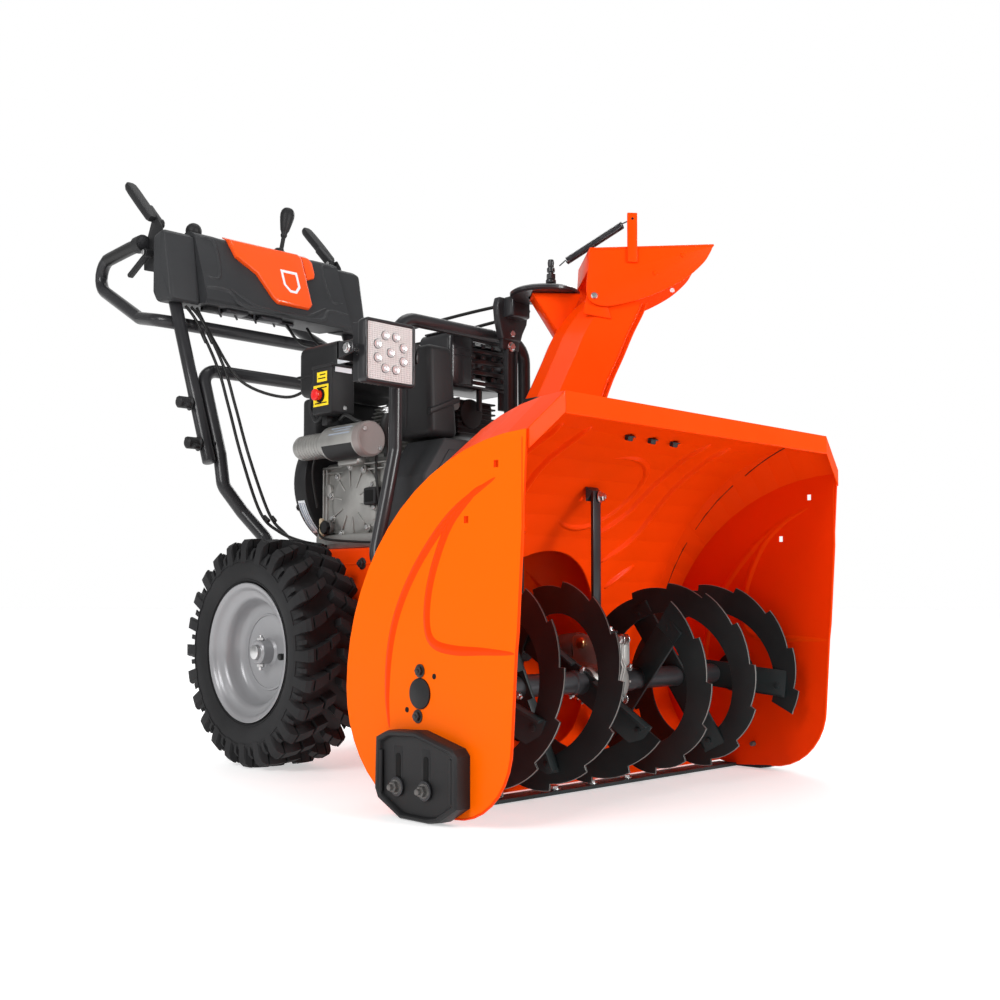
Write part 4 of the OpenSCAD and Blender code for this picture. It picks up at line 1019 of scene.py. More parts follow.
def deflector_piece():
    p = Piece("deflector_shell", ORANGE, CHUTE_AT)
    low = spline([(-50, 790, 0), (-49.5, 765, 0), (-58, 751, 0), (-76, 745.5, 0), (-96, 747, 0), (-135, 757, 0),
                  (-175, 773, 0), (-212, 794, 0), (-238, 817, 0), (-249, 833, 0), (-255, 846, 0)], 5)
    outline = [(-56.5, 835.5)] + [(q.x, q.y) for q in low]
    for s in (-1, 1):
        p.prism(outline, "x", *sorted((s * 63.6, s * 65.8)), bevel=0.7, seg=2)
        for y, z in ((-205, 830), (-160, 800)):
            p.lathe([(0, s * 67.4), (3, s * 66.9), (4.4, s * 65.5), (0, s * 65.5)], (0, y, z), "x", 18, closed=False)
    p.prism([(-52.4, 804), (-54.6, 839), (-256, 849), (-255.9, 846), (-57.4, 835.9), (-55.2, 804)], "x", -65.6,
            65.6, 0.6)
    # rolled front lip of the top plate
    p.tube([(-65, -254.6, 847), (65, -254.6, 847)], 1.9, 10)
    p.box((-70, -131, 816), (-65, -115, 895.8), 1)
    # black disc through the spring bracket: painted shade in place of its hole
    p.use(HOLE_SHADE_SEAM_PRINT_BLACK)
    p.cyl((-70.4, -123, 886), (-64.6, -123, 886), 2, 14)
    p.use(WHITE)
    for y, z in ((-216, 806), (-166, 777)):
        p.cyl((63.2, y, z), (66.2, y, z), 4, 18)
    p.done("deflector", ["deflector"])

    # the tilt spring: close coils with a thin hook at each end
    s = Piece("tilt_spring", DARK_STEEL, CHUTE_AT)
    a, b = Vector((-3, -14, 826)), Vector((-60, -121, 886.5))
    d = unit(b - a)
    u = d.cross(Vector((0, 0, 1))).normalized()
    v = d.cross(u)
    start, end = a + d * 14, b - d * 14
    turns = 46
    path = [a]
    for k in range(turns * 10 + 1):
        t = k / (turns * 10)
        ang = TAU * turns * t
        path.append(start + (end - start) * t + (u * math.cos(ang) + v * math.sin(ang)) * 5.2)
    path.append(b)
    s.tube(path, 1.1, 6)
    spring = s.done(None)
    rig.replaces(spring, "deflector_spring")
    lo = P(*(CHUTE_AT @ a))
    hi = P(*(CHUTE_AT @ b))
    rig.blend(spring, "chute", "deflector", lo, hi)


chute_piece()
deflector_piece()


# ---------------------------------------------------------------- handle

def leg_at(z):
    return 250 + 0.41 * (z - 620)


def sided(points):
    return points + [tuple(q) for q in reversed(mirror_x(points))]


GRIP = [(-228, 424, 972), (-228, 480, 972), (-228, 692, 962), (-228, 435, 826), (-228, leg_at(807) + 22, 807)]
LOW_LEG = [(-124.5, 58, 290), (-124.5, 100, 340), (-127, 147, 391), (-150, 184, 437), (-178, 206, 486),
           (-178, leg_at(546), 546), (-178, leg_at(712), 712)]
HOOP = [(-172, -397, 226), (-178, -300, 262), (-185, -250, 347), (-164, -250, 434), (-146, -250, 514),
        (-144, -250, 728)]


def frame_tubes():
    p = Piece("handle_upper_tube", BLACK_PAINT)
    p.tube(rounded(sided(GRIP), 34, 8), 12.4, 24)
    for s in (-1, 1):
        p.cyl((s * 204, leg_at(528), 528), (s * 204, leg_at(880), 880), 12.4, 24, 1.5)
        # grip sleeve on the upper run of the loop
        p.use(HOSE)
        p.tube([(s * 228, 446, 972), (s * 228, 480, 972), (s * 228, 560, 968.4), (s * 228, 575, 967.7)],
               [12.9, 12.9, 12.9, 12.5], 24)
        p.use(BLACK_PAINT)
    p.done("handle", ["handle_tube"])
    q = Piece("handle_lower_tube", BLACK_PAINT)
    q.tube(rounded(sided(LOW_LEG), 34, 8), 12.4, 24)
    for s in (-1, 1):
        q.lathe([(4.5, s * 178), (9, s * 178), (9, s * 191), (4.5, s * 191)], (0, leg_at(562), 562), "x", 24)
    q.done("machine", ["lower_handle"])
    k = Piece("handle_clamps", PLASTIC)
    for s in (-1, 1):
        for z, inner in ((562, 191.6), (640, 192)):
            y = leg_at(z)
            k.lathe([(0, s * 243.8), (8, s * 243.6), (11, s * 241), (11, s * 222), (14, s * 219),
                     (14, s * 218.4), (0, s * 218.4)],
                    (0, y, z), "x", 28, closed=False)
            for w in (-1, 1):
                turn = Matrix.Translation((s * 231, y, z)) @ Matrix.Rotation(0.5, 4, "X")
                k.add(*hull_box((-6.5, 7, -4.4) if w > 0 else (-6.5, -21.5, -4.4),
                                (6.5, 21.5, 4.4) if w > 0 else (6.5, -7, 4.4)),
                      bevel=4, seg=3, at=turn)
            k.use(ZINC)
            k.cyl((s * inner, y, z), (s * 226, y, z), 4.1, 16)
            k.use(PLASTIC)
    k.done("handle", ["handle_knobs"])
    h = Piece("hoop_tube", BLACK_PAINT)
    h.tube(rounded(sided(HOOP), 38, 9), 10.9, 24)
    h.box((-270, -268, 640), (-140, -262, 668), 1)
    h.box((-152, -267, 641), (-141, -250, 667), 1)
    for x in (-270, -144):
        h.add([(x, -300, 646), (x + 4, -300, 646), (x, -262, 640), (x + 4, -262, 640), (x, -300, 662),
               (x + 4, -300, 662),
               (x, -262, 668), (x + 4, -262, 668)],
              [(0, 1, 3, 2), (4, 6, 7, 5), (0, 4, 5, 1), (2, 3, 7, 6), (0, 2, 6, 4), (1, 5, 7, 3)], 1)
    h.use(ZINC)
    h.bolt((-160, -268, 654), (0, -1, 0), 6, 4)
    h.done("machine", ["guard_hoop"])
    la = Piece("lamp_case", BLACK_PAINT)
    cx, cz = -205, 652

    def square(half, r):
        """Outline of a square with rounded corners, round the middle of the lamp."""
        ends = [(0, half, 0), (-half, half, 0), (-half, -half, 0), (half, -half, 0), (half, half, 0), (0, half, 0)]
        return [(cx + v.x, cz + v.y) for v in rounded(ends, r, 5)][:-1]

    def ring(half, r, y):
        return [(x, y, z) for x, z in square(half, r)]
    la.prism(square(47.8, 6), "y", -300, -291, 1.5, 2)
    la.loft([ring(48.6, 7, -296), ring(48.8, 7, -309.6), ring(48.2, 7, -311.2), ring(46.8, 6.4, -311.9),
             ring(44.9, 5, -311.9),
             ring(44, 4.6, -311), ring(43.6, 4.4, -300)], sharp=45, loop=True)
    for i in range(14):
        x = -249 + i * 6.5
        la.box((x, -296, 607), (x + 2.4, -274.4, 697), 0.5, 1)
    la.box((-252, -297, 646), (-158, -284, 662), 2)
    la.use(ZINC)
    for s, x in ((-1, -270), (1, -140)):
        la.bolt((x, -288, 654), (s, 0, 0), 6, 3.5)
    la.cyl((-266, -288, 654), (-144, -288, 654), 3.3, 14)
    la.done("lamp", ["lamp_housing"])
    le = Piece("lamp_front", LENS_GREY)
    le.prism(square(43.4, 4.2), "y", -309.6, -308.4)
    # fine square grid of the diffuser
    le.use(LENS_LINE)
    for i in range(28):
        t = -42.4 + i * 3.14
        le.box((cx + t - 0.5, -310.3, cz - 42.6), (cx + t + 0.5, -309.4, cz + 42.6))
        le.box((cx - 42.6, -310.2, cz + t - 0.5), (cx + 42.6, -309.4, cz + t + 0.5))
    le.use(LED)
    spots = [(0, 0)] + [(27 * math.cos(TAU * i / 8 + 0.39), 27 * math.sin(TAU * i / 8 + 0.39)) for i in range(8)]
    for a, b in spots:
        le.use(LED)
        le.lathe([(6.2, -311.8), (6.8, -311.8), (6.9, -310), (4.4, -310.2), (3, -310.6), (3, -310.9), (5, -311.2)],
                 (cx + a, 0, cz + b), "y", 24)
        le.use(WHITE)
        le.cyl((cx + a, -310.2, cz + b), (cx + a, -311.4, cz + b), 2.8, 14, 0.4)
        le.use(DARK_STEEL)
        le.lathe([(6.8, -311), (7.4, -311), (7.4, -310), (6.8, -310)], (cx + a, 0, cz + b), "y", 24)
    le.done("lamp", ["lamp_lens"])


def console():
    """Moulded console: body with rounded edges, ribs, and the boots of its levers."""
    body = [(300, 842.5), (276, 835), (334, 984), (352, 992), (430, 985), (440, 950), (400, 850), (300, 842.5)]
    soft = [(v.x, v.y) for v in rounded([(y, z, 0) for y, z in body], 10, 4)]
    p = Piece("console_shell", GREY_PLASTIC)
    stations = [(-169.6, 0.0), (-120, 0.0), (-108, 1.0), (108, 1.0), (120, 0.0), (169.6, 0.0)]

    def section(x, inset):
        mid = Vector((355, 915))
        return [(x, mid.x + (y - mid.x) * (1 - 0.012 * inset), mid.y + (z - mid.y) * (1 - 0.012 * inset)) for y,
                z in soft]
    p.loft([section(x, i) for x, i in stations], sharp=28)
    # sunk lower panels with a raised rib between
    for s in (-1, 1):
        ribs = [[(s * 160, 331.5, 978), (s * 132, 331.5, 978), (s * 126, 318, 943), (s * 134, 300, 897),
                 (s * 160, 300, 897)],
                [(s * 112, 292.5, 878), (s * 60, 282, 851), (s * 20, 282, 851)]]
        for r in ribs:
            bead(p, r, 4, 2.4, (0, -0.93, 0.36), 4, 3)
    for s in (-1, 1):
        bead(p, [(s * 168, 290, 872), (s * 118, 290, 872), (s * 92, 281, 848), (0, 281, 848)], 5, 2.6,
             (0, -0.93, 0.36), 4, 2)
    p.use(PLASTIC)
    # boots of the two levers
    for x, y, z, r in ((46, 366, 984, 17), (-150, 385, 984, 13)):
        rows = []
        for k in range(9):
            rows.append((r * (1 - 0.07 * k) + (1.4 if k % 2 else 0), z + 3 + k * 2.2))
        p.lathe([(0, z)] + rows + [(0, z + 22)], (x, y, 0), "z", 32, closed=False)
    # levers, links and a switch under the console
    p.use(DARK_STEEL)
    for x in (-120, -84, -40, 4):
        p.tube([(x, 322, 848), (x + 4, 330, 838), (x + 16, 342, 834)], 2.2, 8)
    p.box((-110, 312, 838), (-60, 350, 848), 2)
    p.box((-30, 312, 836), (20, 342, 848), 3)
    p.cyl((-150, 336, 842), (60, 336, 842), 4, 14)
    p.use(PLASTIC)
    p.box((-150, 316, 836), (-124, 344, 850), 3)
    p.done("handle", ["console_body"])

    caps = Piece("console_ends", GREY_PLASTIC)
    cap = [(v.x, v.y) for v in rounded([(y, z, 0) for y, z in [(330, 842.5), (308, 840), (336, 976), (350, 984),
                                        (378, 978),
                                        (378, 862), (366, 846), (330, 842.5)]], 6, 4)]
    mid = Vector((352, 912))
    for s in (-1, 1):
        rings = []
        for x, k in ((170.4, 1.0), (222, 1.0), (227, 0.985), (230, 0.955), (231.8, 0.9), (231.9, 0.0001)):
            rings.append([(s * x, mid.x + (y - mid.x) * k, mid.y + (z - mid.y) * k) for y, z in cap])
        caps.loft(rings, sharp=30)
        plate = [(374, 985), (374, 905), (446, 925), (450, 984), (432, 990), (418, 1016), (392, 1016), (380, 1000)]
        caps.use(PLASTIC)
        caps.prism(plate, "x", *sorted((s * 211.4, s * 215.4)), bevel=1.4)
        caps.lathe([(12.7, 424), (16.4, 424), (16.4, 446), (12.7, 446)], (s * 228, 0, 972), "y", 32)
        caps.cyl((s * 196, 404, 1010), (s * 213, 404, 1010), 3.9, 16, 0.5)
        caps.cyl((s * 213, 405, 948), (s * 238, 405, 948), 3.4, 16, 0.5)
        caps.use(ZINC)
        caps.bolt((s * 211.4, 430, 950), (-s, 0, 0), 5, 4)
        caps.cyl((s * 238, 405, 948), (s * 240, 405, 948), 5, 16, 0.5)
        caps.use(GREY_PLASTIC)
    caps.done("handle", ["console_caps"])

    cover = Piece("console_badge_cover", ORANGE_GLOSS)
    up = Vector((0, 334 - 276, 984 - 835)).normalized()
    out = Vector((0, -up.z, up.y))
    base = Vector((0, 276, 835))

    def on_face(x, t, h):
        q = base + up * t + out * h
        return (x, q.y, q.z)
    wide = [(-100, 160), (-88, 122), (-62, 104), (-46, 92), (-20, 42), (-10, 32), (64, 32), (73, 42), (74, 154),
            (66, 162)]
    rings = []
    for h, k in ((0.4, 1.0), (5.2, 1.0), (7.6, 0.985), (9, 0.955), (9.4, 0.92), (9.6, 0.6)):
        rings.append([on_face(-10 + (x + 10) * k, 100 + (t - 100) * k, h) for x, t in wide])
    cover.loft(rings, sharp=32)
    small = [(76, 104), (96, 112), (100, 122), (100, 150), (92, 160), (76, 160)]
    rings = []
    for h, k in ((0.4, 1.0), (3.6, 1.0), (5.2, 0.96), (5.6, 0.9)):
        rings.append([on_face(88 + (x - 88) * k, 132 + (t - 132) * k, h) for x, t in small])
    cover.loft(rings, sharp=32)
    # the cover wraps over the top edge
    cover.prism([(332.4, 986.2), (351, 995.6), (352, 992.6), (335.4, 984.4)], "x", -98, 66, 1)
    cover.prism([(332.4, 985.6), (351, 994.8), (352, 992.6), (335.4, 984.4)], "x", 76, 98, 1)
    # plain raised shield
    cover.use(WHITE)
    shield = [(10, 76), (22, 60), (38, 60), (50, 76), (50, 112), (10, 112)]
    inner = [(15, 78), (24.5, 65.5), (35.5, 65.5), (45, 78), (45, 106), (15, 106)]
    n = len(shield)
    verts = [on_face(x, t, 10.2) for x, t in shield + inner] + [on_face(x, t, 8.6) for x, t in shield + inner]
    faces = []
    for k in range(n):
        m = (k + 1) % n
        faces += [(k, m, n + m, n + k), (2 * n + k, 3 * n + k, 3 * n + m, 2 * n + m), (k, 2 * n + k, 2 * n + m, m),
                  (n + k, n + m, 3 * n + m, 3 * n + k)]
    cover.add(verts, faces)
    cover.done("handle", ["console_cover"])


def levers():
    for s in (-1, 1):
        name = "right" if s < 0 else "left"
        at = Matrix.Translation((0, 404, 1010)) @ Matrix.Rotation(math.radians(43), 4, "X")
        p = Piece("drive_lever_" + name, PLASTIC, at)
        p.lathe([(4.2, s * 198), (8, s * 198), (10, s * 200), (10, s * 208), (8, s * 210), (4.2, s * 210)],
                (0, 0, 0), "x", 28)
        p.add(*hull_box((min(s * 198.5, s * 209.5), 4, -8), (max(s * 198.5, s * 209.5), 62, 8)), bevel=3, seg=3)
        rings = []
        for y, w, h0, h1 in ((14, 8, -6, 6), (22, 11, -7.5, 7.5), (70, 11.8, -7.8, 8.8), (120, 11.8, -7.8, 8.8),
                             (140, 11.2, -7.4, 8.4), (147, 9.4, -6, 7), (149.6, 6, -3, 4)):
            ring = []
            for c, t in ((-1, 0.5), (-0.86, 0.9), (-0.5, 1), (0.5, 1), (0.86, 0.9), (1, 0.5), (1, 0.3),
                         (0.8, 0), (-0.8, 0), (-1, 0.3)):
                ring.append((s * 214 + c * w, y, h0 + (h1 - h0) * t))
            rings.append(ring)
        p.loft(rings, sharp=32)
        p.use(ZINC)
        p.bolt((s * 198, 0, 0), (-s, 0, 0), 5, 3, False)
        p.done("lever_" + name, ["lever_" + name])
        at = Matrix.Translation((s * 228, 405, 948)) @ Matrix.Rotation(math.radians(-23), 4, "X")
        t = Piece("steer_trigger_" + name, PLASTIC, at)
        t.lathe([(3.7, -8), (7.4, -8), (8, -7.4), (8, 7.4), (7.4, 8), (3.7, 8)], (0, 0, 0), "x", 24)
        t.add(*hull_box((-6, 5, -4.8), (6, 79.6, 3.8)), bevel=2.6, seg=3)
        t.done("trigger_" + name, ["trigger_" + name])
    p = Piece("speed_knob", PLASTIC)
    p.tube([(46, 365, 962), (48, 365, 990), (56, 365, 1030)], 4.4, 14)
    p.tube([(38, 365, 962), (54, 365, 962)], 6.8, 20)
    at = Matrix.Translation((57, 365, 1036)) @ Matrix.Rotation(math.radians(11), 4, "Y")
    p.lathe([(0, -6), (5.5, -6), (7, -2), (6.2, 2), (7.6, 6), (9.4, 10), (12.2, 24), (14.4, 36), (14.9, 44),
             (13.6, 51), (10, 56),
             (5, 58.4), (0, 59)], (0, 0, 0), "z", 40, closed=False, at=at, sharp=60)
    p.done("speed_lever", ["speed_lever"])
    p = Piece("chute_knob", PLASTIC)
    tip = math.radians(12.5)
    p.tube([(-150, 385, 966), (-150 + 30 * math.sin(tip), 385, 966 + 30 * math.cos(tip))], 4, 14)
    p.tube([(-150, 378, 966), (-150, 392, 966)], 6, 18)
    at = Matrix.Translation((-150 + 40 * math.sin(tip), 385, 966 + 40 * math.cos(tip)))
    ball = [(15.9 * math.sin(math.pi * k / 16), -15.9 * math.cos(math.pi * k / 16)) for k in range(17)]
    p.lathe([(0, -20), (6, -20), (6, -14)] + ball[3:], (0, 0, 0), "z", 36, closed=False, at=at, sharp=60)
    p.done("chute_lever", ["chute_lever"])


frame_tubes()
console()
levers()


# ---------------------------------------------------------------- engine and chassis

def chassis():
    p = Piece("chassis_shell", ORANGE)
    p.box((-110.8, -298.2, 122), (110.8, 119.8, 364.8), 5, 3)
    for s in (-1, 1):
        bead(p, [(s * 110.8, -270, 150), (s * 110.8, -120, 150), (s * 110.8, -60, 210), (s * 110.8, -60, 300)],
             7, 1.4,
             (s, 0, 0), 4, 3)
        p.box((s * 110.9 - 0.8, -290, 336), (s * 110.9 + 0.8, 112, 339), 0.6)
    p.box((-100, 119.4, 140), (100, 121, 350), 1)
    p.use(BLACK_PAINT)
    for s in (-1, 1):
        for y, z in ((-122, 338), (-240, 338), (-240, 170), (60, 338)):
            p.bolt((s * 110.8, y, z), (s, 0, 0), 7.5, 5.5)
            p.cyl((s * 116, y, z), (s * 121, y, z), 3.6, 12, 0.5)
        p.lathe([(12.2, s * 111), (25, s * 111), (27, s * 113), (24, s * 114.6), (16, s * 115),
                 (12.2, s * 115)], WHEEL_AT, "x", 36)
    p.use(ZINC)
    for x in (-80, 0, 80):
        p.bolt((x, -532, 6), (0, 0, 1), 7, 4)
    p.done("machine", ["chassis_box"])
    b = Piece("belt_guard", GREY_PLASTIC)
    outline = [(-106, 365.3), (106, 365.3), (106, 478), (62, 540), (-62, 540), (-106, 478)]
    b.prism(outline, "y", -274, -178, 4, 3)
    b.prism([(-90, 380), (90, 380), (90, 470), (54, 522), (-54, 522), (-90, 470)], "y", -276.5, -270, 2.5, 2)
    for s in (-1, 1):
        b.box((s * 98 - 8, -279, 372), (s * 98 + 8, -262, 396), 2)
    b.use(ZINC)
    for x, z in ((-98, 384), (98, 384), (0, 529)):
        b.bolt((x, -276.5, z), (0, -1, 0), 5.5, 4)
    b.done("machine", ["belt_cover"])


def crankcase():
    p = Piece("engine_case", CAST)
    p.box((-95.5, -175.5, 365.4), (91.5, 33.5, 391), 4, 2)
    p.add([(-84, -168, 390), (78, -168, 390), (84, 28, 390), (-88, 28, 390), (-78, -158, 522), (66, -158, 522),
           (70, 28, 518),
           (-80, 28, 518)], [(0, 1, 2, 3), (7, 6, 5, 4), (0, 4, 5, 1), (1, 5, 6, 2), (2, 6, 7, 3),
                             (3, 7, 4, 0)], 9, 3)
    # side cover with its ribs and bolts
    p.lathe([(0, -93.5), (22, -93.2), (28, -91.4), (50, -90.4), (60, -88.6), (66, -84), (66, -76), (0, -76)],
            (0, -66, 446), "x", 64, closed=False)
    for k in range(10):
        a = TAU * k / 10 + 0.2
        c, w = math.cos(a), math.sin(a)
        p.cyl((-90, -66 + 62 * c, 446 + 62 * w), (-78, -66 + 62 * c, 446 + 62 * w), 7, 20, 1)
        q = Matrix.Translation((-91, -66 + 40 * c, 446 + 40 * w)) @ Matrix.Rotation(a, 4, "X")
        p.box((-2, -14, -1.4), (1.8, 14, 1.4), 0.8, at=q)
    for y in (-150, -128, 12, 22):
        p.box((-88, y - 2, 394), (-76, y + 2, 508), 1.2)
    for z in (402, 414, 500, 510):
        p.box((-87, -160, z - 1.6), (-78, 26, z + 1.6), 1)
    at = Matrix.Translation((20, -70, 505)) @ Matrix.Rotation(math.radians(24), 4, "Y")
    p.box((-50, -60, 0), (50, 56, 108), 6, 3, at=at)
    for z in range(12, 104, 8):
        p.box((-61.5, -69.5, z), (61.5, 65.5, z + 2.6), 1, 1, at=at)
    p.box((-56, -64, 100), (56, 62, 112), 6, 3, at=at)
    # governor arm post, oil filler and bracket bosses
    p.cyl((-60, -150, 500), (-60, -150, 532), 8, 24, 1.5)
    p.cyl((-92, -128, 470), (-78, -128, 470), 9, 24, 2)
    p.cyl((-90, 6, 470), (-78, 6, 470), 11, 24, 2)
    p.box((-104, -96, 508), (-74, -40, 520), 4, 2)
    p.use(PLASTIC)
    p.box((36, -196, 560), (124, -136, 626), 12, 4)
    p.cyl((66, -200, 600), (66, -188, 600), 26, 36, 3)
    for z in range(566, 624, 9):
        p.box((34, -198, z), (126, -138, z + 3), 1, 1)
    p.use(CAST_DARK)
    p.box((8, -180, 556), (40, -130, 596), 5, 2)
    p.cyl((22, -206, 612), (22, -178, 612), 11, 24, 2)
    p.cyl((-86, 0, 404), (-96, 0, 404), 13, 28, 2)
    p.use(PLASTIC)
    p.cyl((-96, 0, 404), (-104, 0, 404), 12, 8, 2)
    p.cyl((-70, -140, 520), (-78, -150, 566), 8, 20, 1)
    p.box((-108, -152, 436), (-90, -118, 466), 4, 2)
    p.use(HOLE_SHADE_SEAM_PRINT_BLACK)
    p.box((-108.8, -146, 441), (-107, -124, 461), 1)
    p.use(ZINC)
    for k in range(10):
        a = TAU * k / 10 + 0.2
        p.bolt((-90, -66 + 62 * math.cos(a), 446 + 62 * math.sin(a)), (-1, 0, 0), 4.6, 3.4, False)
    for y in (-160, 18):
        p.bolt((-89, y, 391.5), (0, 0, 1), 7.5, 6)
    for x in (-60, 0, 50):
        p.bolt((x, -168, 500), (0, -1, 0), 5, 4)
    p.done("machine", ["engine_block"])


def shroud():
    p = Piece("recoil_housing", PLASTIC)
    p.lathe([(0, 36.4), (116, 36.4), (118, 40), (118, 66), (114, 74), (104, 79), (88, 81), (84, 84), (84, 98),
             (78, 104),
             (20, 104), (16, 100), (0, 100)], (0, 0, 486), "y", 72, closed=False)
    p.box((-95.6, 36.4, 560), (103.6, 77.6, 639.6), 9, 3)
    for k in range(18):
        a = TAU * k / 18
        at = Matrix.Translation((0, 104, 486)) @ Matrix.Rotation(a, 4, "Y")
        p.box((34, -1.6, -2.2), (72, 0.2, 2.2), 0.6, 1, at=at)
    p.use(WHITE)
    band = []
    for k in range(9):
        a = math.radians(196 + k * 4)
        band.append([(118.3 * math.cos(a), y, 486 + 118.3 * math.sin(a)) for y in (42, 62)]
                    + [(117.4 * math.cos(a), y, 486 + 117.4 * math.sin(a)) for y in (62, 42)])
    p.loft(band, sharp=60)
    p.use(BLUE_GREY)
    for i, (y0, y1) in enumerate(((44, 47), (50, 52), (55, 60))):
        band = []
        for k in range(8 - 2 * (i % 2)):
            a = math.radians(198 + k * 4)
            band.append([(118.7 * math.cos(a), y, 486 + 118.7 * math.sin(a)) for y in (y0, y1)]
                        + [(118 * math.cos(a), y, 486 + 118 * math.sin(a)) for y in (y1, y0)])
        p.loft(band, sharp=60)
    p.use(ZINC)
    for k in range(6):
        a = TAU * k / 6 + 0.4
        p.bolt((110 * math.cos(a), 75, 486 + 110 * math.sin(a)), (0, 1, 0), 5, 4)
    p.done("machine", ["engine_shroud"])
    g = Piece("recoil_handle", PLASTIC)
    at = Matrix.Translation((40, 118, 560)) @ Matrix.Rotation(math.radians(-25), 4, "X")
    g.box((-38, 0, -8), (38, 20, 8), 6, 3, at=at)
    g.cyl((0, -5, 0), (0, 4, 0), 6, 20, 1, at=at)
    g.done("recoil_grip", ["recoil_grip"])
    t = Piece("petrol_tank", PLASTIC)
    t.box((-97.6, -33.6, 642.2), (77.6, 89.6, 733.8), 15, 4)
    t.box((-99, -34, 676), (79, 90, 682), 2, 2)
    t.lathe([(20, 733), (28, 733), (28, 734.2), (20, 734.2)], (30, 30, 0), "z", 40)
    t.use(ZINC)
    for x in (-84, 64):
        t.bolt((x, -34, 656), (0, -1, 0), 5, 3)
    t.done("machine", ["fuel_tank"])
    c = Piece("petrol_cap", PLASTIC)
    c.lathe([(0, 722), (18.8, 722), (18.8, 734.5), (26, 734.6), (26.8, 736), (26.8, 745), (24, 749), (16, 750),
             (0, 750)],
            (30, 30, 0), "z", 60, closed=False)
    for k in range(16):
        a = TAU * k / 16
        c.cyl((30 + 25.4 * math.cos(a), 30 + 25.4 * math.sin(a), 736),
              (30 + 25.4 * math.cos(a), 30 + 25.4 * math.sin(a), 746), 1.5, 10, 0.4)
    c.done("fuel_cap", ["fuel_cap"])


